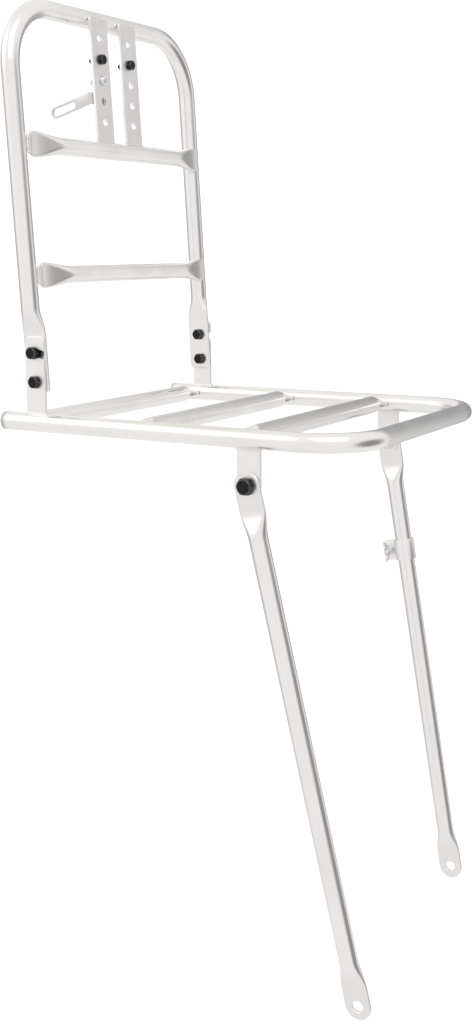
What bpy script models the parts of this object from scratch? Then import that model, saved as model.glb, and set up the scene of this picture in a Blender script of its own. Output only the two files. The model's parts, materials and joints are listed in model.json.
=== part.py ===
"""Folding front luggage rack for a bicycle.

A U-shaped tube deck with cross slats carries an inverted-U back frame that folds
forward on two side tabs, and two flat-ended legs that swing on tabs below the
rails and end in axle eyes. Sizes are metres, +Z is up, the front of the rack
faces -Y, and the world origin is the middle of the wheel axle that the eyes fit.
"""

import math

import bmesh
import bpy
from mathutils import Euler, Matrix, Vector

MM = 0.001

# Fits
GAP = 0.3 * MM  # between pieces that touch
BOLT_PLAY = 0.3 * MM  # radial, shank to hole

# Tubes
TUBE_RADIUS = 8.0 * MM
SLAT_RADIUS = 8.0 * MM
BAR_RADIUS = 7.5 * MM
TUBE_WALL = 1.5 * MM
TUBE_SIDES = 16
BEND_STEPS = 6
TAPER_STEPS = 4
TIP_STEPS = 4
CORNER_STEPS = 3
ROUND_STEPS = 8  # half circle of a plate or a slot
VENT_RADIUS = 1.5 * MM
VENT_SETBACK = 4.5 * MM  # from the end of a tube's taper

# Deck
RAIL_SPACING = 275.0 * MM  # between the two rail axes
DECK_REACH = 302.0 * MM  # pivot line to the front rail's axis
REAR_OVERHANG = 34.0 * MM  # rails behind the pivot line
DECK_CORNER = 50.0 * MM
REAR_SLAT_Y = 10.0 * MM  # behind the pivot line
MIDDLE_SLAT_SETBACK = 201.0 * MM  # behind the front rail's axis
FRONT_SLAT_SETBACK = 99.0 * MM
SLAT_FLAT = 3.0 * MM
SLAT_TAPER = 12.0 * MM
SQUARE_CORNER = 3.0 * MM
PLUG_LENGTH = 12.0 * MM
PLUG_CAP = 2.0 * MM

# Hinge tabs
PIVOT_HEIGHT = 35.3 * MM  # above the rail axis
LOCK_RISE = 25.0 * MM  # pivot bolt to lock bolt
TAB_THICKNESS = 3.0 * MM
TAB_WIDTH = 20.0 * MM
TAB_HEADROOM = 14.0 * MM  # lock bolt to the tab's top
TAB_CORNER = 5.0 * MM
NOTCH_OVERRUN = 1.0 * MM  # lock notch past the tab's front edge
MOST_NOTCH_SINE = 0.95

# Back frame, measured along its own lean from the pivot
BACK_LEAN = math.radians(3.4)
BACK_HEIGHT = 314.5 * MM  # pivot to the top tube's axis
BACK_CORNER = 54.0 * MM
BACK_FLAT_BELOW = 9.0 * MM
TAPER_CLEARANCE = 1.0 * MM  # hoop taper above the tab's reach
BACK_TAPER = 22.0 * MM
LOWER_BAR_RISE = 90.3 * MM
UPPER_BAR_DROP = 115.3 * MM  # below the top tube's axis
BAR_SHORTFALL = 6.0 * MM  # crossbar end to the hoop tube's axis
BAR_FLAT = 3.0 * MM
BAR_TAPER = 38.0 * MM
STRIP_WIDTH = 25.0 * MM
STRIP_THICKNESS = 3.0 * MM
STRIP_SPACING = 45.0 * MM
STRIP_CORNER = 2.0 * MM
HOLE_COUNT = 5
HOLE_MARGIN = 17.5 * MM  # first and last hole to the strip's ends
HOLE_RADIUS = 3.25 * MM
BOLTED_HOLE = 1  # counted from the top
STAY_HOLE = 2

# Stem stay
STAY_THICKNESS = 2.0 * MM
STAY_LEAF_BEYOND = 9.0 * MM  # screw to the leaf's free edge
STAY_LEAF_UP = 8.0 * MM  # screw to the leaf's upper edge
STAY_LEAF_DOWN = 20.9 * MM
STAY_LEAF_INSET = 3.0 * MM  # strip's edge to the leaf above the arm
STAY_REACH = 46.5 * MM
STAY_ARM_WIDTH = 10.5 * MM
STAY_DROOP = math.radians(11.7)
STAY_SLOT_RADIUS = 3.0 * MM
STAY_SLOT_LENGTH = 26.0 * MM

# Legs
LEG_SETBACK = 91.0 * MM  # leg pivots behind the front rail's axis
LEG_PIVOT_DROP = 37.4 * MM  # below the rail axis
LEG_LENGTH = 436.7 * MM  # pivot bolt to axle eye
LEFT_LEG_TILT = math.radians(13.6)
RIGHT_LEG_TILT = math.radians(10.0)
LEG_TOP_FLAT = 20.0 * MM  # flat part below the pivot bolt
LEG_FOOT_FLAT = 15.0 * MM  # flat part above the axle eye
LEG_TAPER = 24.0 * MM
AXLE_EYE_RADIUS = 5.0 * MM
LEG_TAB_WIDTH = 21.0 * MM

# Lamp clip
CLIP_DISTANCE = 108.0 * MM  # leg pivot to the clip's middle
CLIP_HEIGHT = 20.0 * MM
CLIP_THICKNESS = 1.3 * MM
CLIP_EAR_GAP = 2.6 * MM
CLIP_SCREW_CLEARANCE = 1.1 * MM  # wing nut's hub to the clip's ring
CLIP_EAR_BEYOND = 7.0 * MM  # screw to the ears' end
HUB_LENGTH = 7.0 * MM
HUB_RADIUS = 4.6 * MM
HUB_TAPER = 1.0 * MM
WING_SPAN = 19.0 * MM
WING_THICKNESS = 2.2 * MM
WING_RISE = 7.0 * MM  # wing tips beyond the hub
WING_ROUND = 1.0 * MM
WING_ROOT_SHARE = 0.4  # where a wing leaves the hub, from its seat

# Fasteners: thread radius, width across flats, head height, nut height, washer radius
M5 = (2.5 * MM, 8.0 * MM, 3.5 * MM, 4.5 * MM, 5.0 * MM)
M6 = (3.0 * MM, 10.0 * MM, 4.0 * MM, 5.5 * MM, 6.0 * MM)
M8 = (4.0 * MM, 13.0 * MM, 5.3 * MM, 7.0 * MM, 8.0 * MM)
WASHER_THICKNESS = 1.2 * MM
THREAD_TAIL = 2.5 * MM  # bolt beyond its nut
BOLT_CHAMFER = 0.5 * MM
COLLAR_STEP = 0.8 * MM  # nut's flat to its collar
SHOULDER_SHARE = 0.7  # hexagon's share of a nut's height
DOME_TURNS = (75, 50, 25, 0)  # degrees up a round head, from its crown
FASTENER_SIDES = 12
CUTTER_SIDES = 16
DRILL_LENGTH = 12.0 * MM  # passes any one plate
SHARP_EDGE = math.radians(35)

LEFT, RIGHT = -1, 1
SIDE_NAME = {LEFT: "left", RIGHT: "right"}

# Derived sizes that several pieces share
PRESSED = TUBE_WALL  # half thickness of a tube pressed flat
RAIL_X = RAIL_SPACING / 2
BACK_FLAT_X = RAIL_X - TAB_THICKNESS / 2 - GAP - PRESSED
LEG_X = RAIL_X + TAB_THICKNESS / 2 + GAP + PRESSED
BAR_Y = -(TUBE_RADIUS + GAP + PRESSED)
STRIP_Y = -(TUBE_RADIUS + GAP + STRIP_THICKNESS / 2)
UPPER_BAR_RISE = BACK_HEIGHT - UPPER_BAR_DROP
HINGE_GRIP = TAB_THICKNESS + GAP + 2 * PRESSED  # tab and pressed tube end
HINGE_FACE = {LEFT: -RAIL_X - TAB_THICKNESS / 2, RIGHT: BACK_FLAT_X - PRESSED}  # under the bolt heads
STRIP_FOOT = UPPER_BAR_RISE + BAR_RADIUS + GAP
HOLE_PITCH = (BACK_HEIGHT - STRIP_FOOT - 2 * HOLE_MARGIN) / (HOLE_COUNT - 1)
CLIP_INNER = (TUBE_RADIUS / math.cos(math.pi / TUBE_SIDES) + GAP) / math.cos(math.pi / TUBE_SIDES / 2)
CLIP_OUTER = CLIP_INNER + CLIP_THICKNESS
CLIP_CHEEK = CLIP_EAR_GAP / 2 + CLIP_THICKNESS  # clip's middle to the outside of an ear
CLIP_SCREW_OFFSET = CLIP_OUTER + CLIP_SCREW_CLEARANCE + HUB_RADIUS - HUB_TAPER / 2
CLIP_EAR_END = CLIP_SCREW_OFFSET + CLIP_EAR_BEYOND
LEG_PIVOT_Y = LEG_SETBACK - DECK_REACH
TAB_REACH = math.hypot(LOCK_RISE + TAB_HEADROOM, TAB_WIDTH / 2)
X_AXIS = Vector((1, 0, 0))
Y_AXIS = Vector((0, 1, 0))
Z_AXIS = Vector((0, 0, 1))


def clear_scene():
    for old in list(bpy.data.objects):
        bpy.data.objects.remove(old, do_unlink=True)


def make_material(name, colour, roughness, metallic):
    material = bpy.data.materials.new(name)
    material.use_nodes = True
    shader = material.node_tree.nodes["Principled BSDF"]
    shader.inputs["Base Color"].default_value = (*colour, 1)
    shader.inputs["Roughness"].default_value = roughness
    shader.inputs["Metallic"].default_value = metallic
    return material


def add_object(name, bm, material, parent=None):
    """A named mesh object made from bm, in the space of its parent."""
    bmesh.ops.recalc_face_normals(bm, faces=bm.faces)
    mesh = bpy.data.meshes.new(name)
    bm.to_mesh(mesh)
    bm.free()
    mesh.shade_smooth()
    mesh.set_sharp_from_angle(angle=SHARP_EDGE)
    made = bpy.data.objects.new(name, mesh)
    made.data.materials.append(material)
    made.parent = parent
    bpy.context.scene.collection.objects.link(made)
    return made


def add_pivot(name, parent, location, rotation=(0, 0, 0)):
    pivot = bpy.data.objects.new(name, None)
    pivot.empty_display_size = 10 * MM
    pivot.parent = parent
    pivot.location = location
    pivot.rotation_euler = Euler(rotation)
    bpy.context.scene.collection.objects.link(pivot)
    return pivot


def ease(share):
    return share * share * (3 - 2 * share)


def pressed_straight(radius, half_thickness):
    """Half the straight side of a round tube pressed to half_thickness: its girth stays."""
    return math.pi * (radius - half_thickness) / 2


def section(centre, thin, wide, half_thickness, half_straight, sides):
    """Points of a stadium, or of a circle where half_straight is 0, whose flats lie true."""
    reach = half_thickness / math.cos(math.pi / sides)
    points = []
    for index in range(sides):
        angle = (index + 0.5) * 2 * math.pi / sides
        across = reach * math.cos(angle)
        across += math.copysign(half_straight, across)
        points.append(centre + wide * across + thin * reach * math.sin(angle))
    return points


def add_ring(bm, points):
    return [bm.verts.new(point) for point in points]


def bridge(bm, first, second):
    count = len(first)
    for index in range(count):
        following = (index + 1) % count
        bm.faces.new((first[index], first[following], second[following], second[index]))


def loft(bm, sections, closed=False):
    """Skins the sections in order: capped at both ends, or joined last to first."""
    rings = [add_ring(bm, points) for points in sections]
    for first, second in zip(rings, rings[1:]):
        bridge(bm, first, second)
    if closed:
        bridge(bm, rings[-1], rings[0])
    else:
        bm.faces.new(rings[0])
        bm.faces.new(rings[-1])
    return bm


def turned(profile, sides=FASTENER_SIDES):
    """Sections about Z from (z, radius, hexagonal) rows; radius is half the flats of a hexagon."""
    sections = []
    for height, radius, hexagonal in profile:
        ring = []
        for index in range(sides):
            angle = index * 2 * math.pi / sides
            off_flat = (angle + math.pi / 6) % (math.pi / 3) - math.pi / 6
            reach = radius / math.cos(off_flat) if hexagonal else radius
            ring.append(Vector((reach * math.cos(angle), reach * math.sin(angle), height)))
        sections.append(ring)
    return sections


def plate(bm, outline, thickness, across):
    """Adds a plate from a closed outline of its middle plane, with half its thickness each way."""
    half = across * thickness / 2
    return loft(bm, [[point - half for point in outline], [point + half for point in outline]])


def arc(centre, radius, start, end, steps, first_axis, second_axis):
    """Points on an arc from start to end, in degrees from first_axis towards second_axis."""
    points = []
    for index in range(steps + 1):
        angle = math.radians(start + (end - start) * index / steps)
        direction = first_axis * math.cos(angle) + second_axis * math.sin(angle)
        points.append(centre + direction * radius)
    return points


def rounded_rectangle(low, high, corner, first_axis, second_axis):
    """Outline of a rectangle between the (first, second) corners low and high."""
    points = []
    places = ((high[0] - corner, high[1] - corner, 0), (low[0] + corner, high[1] - corner, 90),
              (low[0] + corner, low[1] + corner, 180), (high[0] - corner, low[1] + corner, 270))
    for first, second, turn in places:
        centre = first_axis * first + second_axis * second
        points += arc(centre, corner, turn, turn + 90, CORNER_STEPS, first_axis, second_axis)
    return points


def stadium(start, end, radius, normal):
    """Outline of a slot between two centres in the plane with this normal."""
    along = (end - start).normalized()
    side = normal.cross(along)
    return (arc(end, radius, -90, 90, ROUND_STEPS, along, side)
            + arc(start, radius, 90, 270, ROUND_STEPS, along, side))


def turn_to(direction):
    """Rotation that takes +Z to direction."""
    return Z_AXIS.rotation_difference(direction)


def seat_at(made, seat, direction):
    """Moves an object that was made about +Z, so that it sits at seat and points along direction."""
    made.location = seat
    made.rotation_mode = "QUATERNION"
    made.rotation_quaternion = turn_to(direction)
    return made


def add_cylinder(bm, centre, axis, radius, length, sides=CUTTER_SIDES):
    place = Matrix.Translation(centre) @ turn_to(axis).to_matrix().to_4x4()
    bmesh.ops.create_cone(bm, cap_ends=True, segments=sides, radius1=radius, radius2=radius,
                          depth=length, matrix=place)


def combine(target, helper, operation):
    """A Boolean on target with a helper that is itself left out of the rack."""
    helper.hide_render = True
    helper.display_type = "WIRE"
    modifier = target.modifiers.new(helper.name, "BOOLEAN")
    modifier.operation = operation
    modifier.solver = "EXACT"
    modifier.object = helper


def drill(target, holes):
    """Cuts round holes, each (centre, axis, radius, length) in the target's own space."""
    bm = bmesh.new()
    for centre, axis, radius, length in holes:
        add_cylinder(bm, centre, axis, radius, length)
    cutter = add_object(target.name + "_drill", bm, target.data.materials[0], target.parent)
    combine(target, cutter, "DIFFERENCE")


def clearance_hole(centre, axis, size):
    """A bolt's hole through a plate."""
    return (centre, axis, bolt_hole_radius(size), DRILL_LENGTH)


def bolt_hole_radius(size):
    """Radius of a cutter's corners, so that its flats clear the bolt."""
    return (size[0] + BOLT_PLAY) / math.cos(math.pi / CUTTER_SIDES)


def vent_hole(centre, axis, radius):
    """A drain hole through one wall of a tube, on the side that axis points to."""
    return (centre + axis * radius, axis, VENT_RADIUS, radius)


# Fasteners

def add_bolt(name, size, grip, parent, seat, direction, material):
    """A hex bolt whose head sits at seat and whose shank passes a grip and a nut."""
    thread, flats, head, nut, _ = size
    crown = -head - GAP
    tip = grip + WASHER_THICKNESS + 3 * GAP + nut + THREAD_TAIL
    rows = ((crown, flats / 2 - BOLT_CHAMFER, False), (crown + BOLT_CHAMFER, flats / 2, True),
            (-GAP, flats / 2, True), (-GAP, thread, False), (tip - BOLT_CHAMFER, thread, False),
            (tip, thread - BOLT_CHAMFER, False))
    bolt = add_object(name, loft(bmesh.new(), turned(rows)), material, parent)
    return seat_at(bolt, seat, direction)


def add_threaded_ring(name, rows, thread, parent, seat, direction, material):
    """A nut or a washer: outer rows up, and back down the hole."""
    bore = (thread + BOLT_PLAY) / math.cos(math.pi / FASTENER_SIDES)
    inner = ((rows[-1][0], bore, False), (rows[0][0], bore, False))
    ring = add_object(name, loft(bmesh.new(), turned((*rows, *inner)), closed=True), material, parent)
    return seat_at(ring, seat, direction)


def add_washer(name, size, parent, seat, direction, material):
    rows = ((GAP, size[4], False), (GAP + WASHER_THICKNESS, size[4], False))
    return add_threaded_ring(name, rows, size[0], parent, seat, direction, material)


def add_nut(name, size, parent, seat, direction, material):
    """A self-locking nut: a hexagon with a round collar."""
    thread, flats, _, height, _ = size
    collar = flats / 2 - COLLAR_STEP
    shoulder = SHOULDER_SHARE * height
    rows = ((GAP, flats / 2, True), (GAP + shoulder, flats / 2, True),
            (GAP + shoulder, collar, False), (GAP + height, collar, False))
    return add_threaded_ring(name, rows, thread, parent, seat, direction, material)


def add_fastening(name, size, grip, parent, face, direction, looks):
    """Bolt, washer and nut through a grip of plates whose head side is at face."""
    far = face + direction * grip
    add_bolt(name + "_bolt", size, grip, parent, face, direction, looks["bolt"])
    add_washer(name + "_washer", size, parent, far, direction, looks["washer"])
    nut_seat = far + direction * (GAP + WASHER_THICKNESS)
    add_nut(name + "_nut", size, parent, nut_seat, direction, looks["washer"])


# Tubes

def end_profile(radius, flat, taper, corner):
    """Rows (distance from the tip, half thickness, half straight) of a pressed tube end."""
    full = pressed_straight(radius, PRESSED)
    least_width = PRESSED + GAP
    first = math.asin(max(0.0, (least_width - full - PRESSED + corner) / corner))
    rows = []
    for index in range(TIP_STEPS + 1):
        turn = first + (math.pi / 2 - first) * index / TIP_STEPS
        rows.append((corner * (1 - math.cos(turn)), PRESSED, full - corner * (1 - math.sin(turn))))
    for index in range(TAPER_STEPS + 1):
        share = index / TAPER_STEPS
        half = PRESSED + (radius - PRESSED) * ease(share)
        rows.append((flat + taper * share, half, pressed_straight(radius, half)))
    return rows


def pressed_tube(name, length, radius, ends, material, parent):
    """A straight tube from its tip at the origin along +Z, pressed flat across X at both ends.

    Each end is (flat length, taper length, tip corner radius).
    """
    first, last = (end_profile(radius, *end) for end in ends)
    rows = first + [(length - away, half, straight) for away, half, straight in reversed(last)]
    sections = [section(Z_AXIS * at, X_AXIS, Y_AXIS, half, straight, TUBE_SIDES)
                for at, half, straight in rows]
    tube = add_object(name, loft(bmesh.new(), sections), material, parent)
    bore_ends = (first[-1][0], length - last[-1][0])
    hollow(tube, [section(Z_AXIS * at, X_AXIS, Y_AXIS, radius - TUBE_WALL, 0, TUBE_SIDES)
                  for at in bore_ends])
    return tube


def hollow(tube, sections):
    """Bores a tube along the sections, which stop inside it."""
    material = tube.data.materials[0]
    bore = add_object(tube.name + "_bore", loft(bmesh.new(), sections), material, tube.parent)
    bore.matrix_basis = tube.matrix_basis
    combine(tube, bore, "DIFFERENCE")


def pressed_half_width(radius):
    return PRESSED + pressed_straight(radius, PRESSED)


def bend(centre, radius, start, first_axis, second_axis):
    """(point, outward) pairs through a quarter turn from start degrees, clockwise."""
    points = arc(centre, radius, start, start - 90, BEND_STEPS, first_axis, second_axis)
    return [(point, (point - centre).normalized()) for point in points]


# Deck

def add_deck_hoop(parent, material):
    """The U of round tube: two rails and the front rail, open at its rear ends."""
    corner_x = RAIL_X - DECK_CORNER
    corner_y = DECK_CORNER - DECK_REACH
    path = [(Vector((-RAIL_X, REAR_OVERHANG, 0)), -X_AXIS)]
    path += bend(Vector((-corner_x, corner_y, 0)), DECK_CORNER, 180, X_AXIS, -Y_AXIS)
    path += bend(Vector((corner_x, corner_y, 0)), DECK_CORNER, 90, X_AXIS, -Y_AXIS)
    path.append((Vector((RAIL_X, REAR_OVERHANG, 0)), X_AXIS))
    outer = [section(point, out, Z_AXIS, TUBE_RADIUS, 0, TUBE_SIDES) for point, out in path]
    inner = [section(point, out, Z_AXIS, TUBE_RADIUS - TUBE_WALL, 0, TUBE_SIDES)
             for point, out in reversed(path)]
    return add_object("deck_hoop", loft(bmesh.new(), outer + inner, closed=True), material, parent)


def flat_ended_bar(name, length, radius, flat, taper, parent, material):
    """A slat's or crossbar's tube, along +Z, with a vent beside its first taper."""
    end = (flat, taper, SQUARE_CORNER)
    bar = pressed_tube(name, length, radius, (end, end), material, parent)
    drill(bar, [vent_hole(Z_AXIS * (flat + taper + VENT_SETBACK), X_AXIS, radius)])
    return bar


def add_slat(name, y, parent, material):
    length = 2 * (RAIL_X - TUBE_RADIUS - GAP)
    slat = flat_ended_bar(name, length, SLAT_RADIUS, SLAT_FLAT, SLAT_TAPER, parent, material)
    return place(slat, (-length / 2, y, 0), (0, math.pi / 2, 0))


def place(made, location, rotation=(0, 0, 0)):
    """Puts an object, and the cutters that shape it, at a place in its parent's space."""
    cutters = [modifier.object for modifier in made.modifiers]
    for moved in (made, *cutters):
        moved.location = location
        moved.rotation_euler = Euler(rotation)
    return made


def add_rail_plug(side, parent, material):
    """A push-in cap that closes the rear end of a rail."""
    stem = TUBE_RADIUS - TUBE_WALL - GAP
    rows = ((-PLUG_LENGTH, stem - GAP, False), (GAP, stem, False), (GAP, TUBE_RADIUS, False),
            (PLUG_CAP - GAP, TUBE_RADIUS, False), (PLUG_CAP, TUBE_RADIUS - 2 * GAP, False))
    name = f"rail_plug_{SIDE_NAME[side]}"
    plug = add_object(name, loft(bmesh.new(), turned(rows, TUBE_SIDES)), material, parent)
    return place(plug, (side * RAIL_X, REAR_OVERHANG, 0), (-math.pi / 2, 0, 0))


def lock_notch():
    """Outline of the open slot that the lock bolt swings out of, about the pivot."""
    half = bolt_hole_radius(M6)
    leave = math.asin(min(MOST_NOTCH_SINE, (TAB_WIDTH / 2 + NOTCH_OVERRUN) / (LOCK_RISE - half)))
    start, end = -math.degrees(BACK_LEAN), math.degrees(leave)
    seat = Z_AXIS * LOCK_RISE * math.cos(BACK_LEAN) + Y_AXIS * LOCK_RISE * math.sin(BACK_LEAN)
    outer = arc(Vector(), LOCK_RISE + half, start, end, BEND_STEPS, Z_AXIS, -Y_AXIS)
    inner = arc(Vector(), LOCK_RISE - half, end, start, BEND_STEPS, Z_AXIS, -Y_AXIS)
    closing = arc(seat, half, 180 + start, 360 + start, BEND_STEPS, Z_AXIS, -Y_AXIS)
    return outer + inner + closing[1:-1]


def add_hinge_tab(side, parent, material):
    """The plate on a rail that carries the back frame's pivot and lock bolts."""
    foot = TUBE_RADIUS + GAP - PIVOT_HEIGHT
    half = TAB_WIDTH / 2
    inset = half - TAB_CORNER
    shoulder = LOCK_RISE + TAB_HEADROOM - TAB_CORNER
    outline = [Vector((0, half, foot)),
               *arc(Vector((0, inset, shoulder)), TAB_CORNER, 0, 90, TIP_STEPS, Y_AXIS, Z_AXIS),
               *arc(Vector((0, -inset, shoulder)), TAB_CORNER, 90, 180, TIP_STEPS, Y_AXIS, Z_AXIS),
               Vector((0, -half, foot))]
    body = plate(bmesh.new(), outline, TAB_THICKNESS, X_AXIS)
    tab = add_object(f"hinge_tab_{SIDE_NAME[side]}", body, material, parent)
    drill(tab, [clearance_hole(Vector(), X_AXIS, M6)])
    notch_body = plate(bmesh.new(), lock_notch(), DRILL_LENGTH, X_AXIS)
    combine(tab, add_object(tab.name + "_notch", notch_body, material, parent), "DIFFERENCE")
    return place(tab, (side * RAIL_X, 0, PIVOT_HEIGHT))


def add_leg_tab(side, parent, material):
    """The plate under a rail that carries a leg's pivot bolt."""
    half = LEG_TAB_WIDTH / 2
    top = LEG_PIVOT_DROP - TUBE_RADIUS - GAP
    outline = [Vector((0, -half, top)), *arc(Vector(), half, 180, 360, ROUND_STEPS, Y_AXIS, Z_AXIS),
               Vector((0, half, top))]
    body = plate(bmesh.new(), outline, TAB_THICKNESS, X_AXIS)
    tab = add_object(f"leg_tab_{SIDE_NAME[side]}", body, material, parent)
    drill(tab, [clearance_hole(Vector(), X_AXIS, M8)])
    return place(tab, (side * RAIL_X, LEG_PIVOT_Y, -LEG_PIVOT_DROP))


def add_deck(rack, looks):
    add_deck_hoop(rack, looks["tube"])
    slats = (("slat_rear", REAR_SLAT_Y), ("slat_middle", MIDDLE_SLAT_SETBACK - DECK_REACH),
             ("slat_front", FRONT_SLAT_SETBACK - DECK_REACH))
    for name, y in slats:
        add_slat(name, y, rack, looks["tube"])
    for side, word in SIDE_NAME.items():
        add_rail_plug(side, rack, looks["plug"])
        add_hinge_tab(side, rack, looks["plate"])
        add_leg_tab(side, rack, looks["plate"])
        pivot_face = Vector((HINGE_FACE[side], 0, PIVOT_HEIGHT))
        add_fastening(f"pivot_{word}", M6, HINGE_GRIP, rack, pivot_face, X_AXIS, looks)
        leg_face = Vector((side * (LEG_X + PRESSED), LEG_PIVOT_Y, -LEG_PIVOT_DROP))
        add_fastening(f"leg_{word}", M8, HINGE_GRIP, rack, leg_face, -side * X_AXIS, looks)


# Back frame

def hoop_upright():
    """(x, z, half thickness, half straight) rows up one side of the hoop, from its tip."""
    flat = BACK_FLAT_BELOW + TAB_REACH + TAPER_CLEARANCE
    rows = []
    for away, half, straight in end_profile(TUBE_RADIUS, flat, BACK_TAPER, SQUARE_CORNER):
        share = min(1.0, max(0.0, (away - flat) / BACK_TAPER))
        x = BACK_FLAT_X + (RAIL_X - BACK_FLAT_X) * ease(share)
        rows.append((x, away - BACK_FLAT_BELOW, half, straight))
    return rows


def add_back_hoop(back, material):
    """The inverted U of tube; its pressed ends sit inside the hinge tabs."""
    upright = hoop_upright()
    corner_x = RAIL_X - BACK_CORNER
    corner_z = BACK_HEIGHT - BACK_CORNER
    bends = bend(Vector((-corner_x, 0, corner_z)), BACK_CORNER, 180, X_AXIS, Z_AXIS)
    bends += bend(Vector((corner_x, 0, corner_z)), BACK_CORNER, 90, X_AXIS, Z_AXIS)
    sections = [section(Vector((-x, 0, z)), -X_AXIS, Y_AXIS, half, straight, TUBE_SIDES)
                for x, z, half, straight in upright]
    sections += [section(point, out, Y_AXIS, TUBE_RADIUS, 0, TUBE_SIDES) for point, out in bends]
    sections += [section(Vector((x, 0, z)), X_AXIS, Y_AXIS, half, straight, TUBE_SIDES)
                 for x, z, half, straight in reversed(upright)]
    hoop = add_object("back_hoop", loft(bmesh.new(), sections), material, back)
    start = upright[-1][1]
    path = [(Vector((-RAIL_X, 0, start)), -X_AXIS), *bends, (Vector((RAIL_X, 0, start)), X_AXIS)]
    hollow(hoop, [section(point, out, Y_AXIS, TUBE_RADIUS - TUBE_WALL, 0, TUBE_SIDES)
                  for point, out in path])
    holes = []
    for side in SIDE_NAME:
        holes += [clearance_hole(Vector((side * BACK_FLAT_X, 0, z)), X_AXIS, M6) for z in (0, LOCK_RISE)]
        vent = Vector((side * RAIL_X, 0, start + VENT_SETBACK))
        holes.append(vent_hole(vent, -side * X_AXIS, TUBE_RADIUS))
    drill(hoop, holes)
    return hoop


def add_crossbar(name, z, back, material):
    length = 2 * (RAIL_X - BAR_SHORTFALL)
    bar = flat_ended_bar(name, length, BAR_RADIUS, BAR_FLAT, BAR_TAPER, back, material)
    return place(bar, (-length / 2, BAR_Y, z), (math.pi / 2, 0, math.pi / 2))


def hole_height(number):
    """Height of a strip's hole above the pivot, counted from 0 at the top."""
    return BACK_HEIGHT - HOLE_MARGIN - number * HOLE_PITCH


def add_strip(side, back, material):
    """A perforated bar from the upper crossbar's crown to the front of the top tube."""
    middle = side * STRIP_SPACING / 2
    low = (middle - STRIP_WIDTH / 2, STRIP_FOOT)
    high = (middle + STRIP_WIDTH / 2, BACK_HEIGHT)
    outline = rounded_rectangle(low, high, STRIP_CORNER, X_AXIS, Z_AXIS)
    body = plate(bmesh.new(), outline, STRIP_THICKNESS, Y_AXIS)
    strip = add_object(f"strip_{SIDE_NAME[side]}", body, material, back)
    drill(strip, [(Vector((middle, 0, hole_height(number))), Y_AXIS, HOLE_RADIUS, DRILL_LENGTH)
                  for number in range(HOLE_COUNT)])
    return place(strip, (0, STRIP_Y, 0))


def add_back_frame(rack, looks):
    """Everything that folds with the back, under one empty on the pivot line."""
    back = add_pivot("back_pivot", rack, (0, 0, PIVOT_HEIGHT), (-BACK_LEAN, 0, 0))
    add_back_hoop(back, looks["tube"])
    add_crossbar("crossbar_lower", LOWER_BAR_RISE, back, looks["tube"])
    add_crossbar("crossbar_upper", UPPER_BAR_RISE, back, looks["tube"])
    strip_front = STRIP_Y - STRIP_THICKNESS / 2
    for side, word in SIDE_NAME.items():
        add_strip(side, back, looks["plate"])
        lock_face = Vector((HINGE_FACE[side], 0, LOCK_RISE))
        add_fastening(f"lock_{word}", M6, HINGE_GRIP, back, lock_face, X_AXIS, looks)
        front = Vector((side * STRIP_SPACING / 2, strip_front, hole_height(BOLTED_HOLE)))
        add_fastening(f"strip_{word}", M5, STRIP_THICKNESS, back, front, Y_AXIS, looks)
    add_stay(back, looks)


def stay_direction():
    return Y_AXIS * math.cos(STAY_DROOP) - Z_AXIS * math.sin(STAY_DROOP)


def stay_leaf(arm_x):
    """Outline of the leaf, stepped so that only the arm's root shows past the strip."""
    upper_x = STAY_LEAF_INSET - STRIP_WIDTH / 2
    arm_top = STAY_ARM_WIDTH - STAY_LEAF_DOWN
    corners = ((arm_x, -STAY_LEAF_DOWN), (STAY_LEAF_BEYOND, -STAY_LEAF_DOWN),
               (STAY_LEAF_BEYOND, STAY_LEAF_UP), (upper_x, STAY_LEAF_UP), (upper_x, arm_top), (arm_x, arm_top))
    return [X_AXIS * x + Z_AXIS * z for x, z in corners]


def stay_arm(root):
    """Outline of the stay's arm, whose centre line starts at root on the leaf."""
    half = STAY_ARM_WIDTH / 2
    along = stay_direction()
    up = X_AXIS.cross(along)
    side = X_AXIS * root.x
    tip = root + along * (STAY_REACH - half)
    return [side + Z_AXIS * (STAY_ARM_WIDTH - STAY_LEAF_DOWN), side - Z_AXIS * STAY_LEAF_DOWN,
            *arc(tip, half, -90, 90, ROUND_STEPS, along, up)]


def stay_slot(root):
    """Outline of the slot near the tip of the arm."""
    along = stay_direction()
    slot_end = root + along * (STAY_REACH - STAY_ARM_WIDTH)
    slot_start = slot_end - along * (STAY_SLOT_LENGTH - 2 * STAY_SLOT_RADIUS)
    return stadium(slot_start, slot_end, STAY_SLOT_RADIUS, X_AXIS)


def add_stay(back, looks):
    """The slotted stay towards the handlebar stem: a bent plate on the left strip's rear face."""
    screw_x = LEFT * STRIP_SPACING / 2
    screw_z = hole_height(STAY_HOLE)
    leaf_y = STRIP_Y + STRIP_THICKNESS / 2 + GAP + STAY_THICKNESS / 2
    swivel = add_pivot("stay_swivel", back, (screw_x, leaf_y, screw_z))
    arm_x = -STRIP_WIDTH / 2 - STAY_THICKNESS / 2
    root = Vector((arm_x, 0, STAY_ARM_WIDTH / 2 - STAY_LEAF_DOWN))
    metal = looks["plate"]
    leaf_body = plate(bmesh.new(), stay_leaf(arm_x), STAY_THICKNESS, Y_AXIS)
    stay = add_object("stem_stay", leaf_body, metal, swivel)
    arm_body = plate(bmesh.new(), stay_arm(root), STAY_THICKNESS, X_AXIS)
    combine(stay, add_object("stem_stay_arm", arm_body, metal, swivel), "UNION")
    slot_body = plate(bmesh.new(), stay_slot(root), DRILL_LENGTH, X_AXIS)
    combine(stay, add_object("stem_stay_slot", slot_body, metal, swivel), "DIFFERENCE")
    drill(stay, [(Vector(), Y_AXIS, HOLE_RADIUS, DRILL_LENGTH)])
    add_stay_screw(Vector((screw_x, STRIP_Y - STRIP_THICKNESS / 2, screw_z)), back, looks["washer"])


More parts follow.
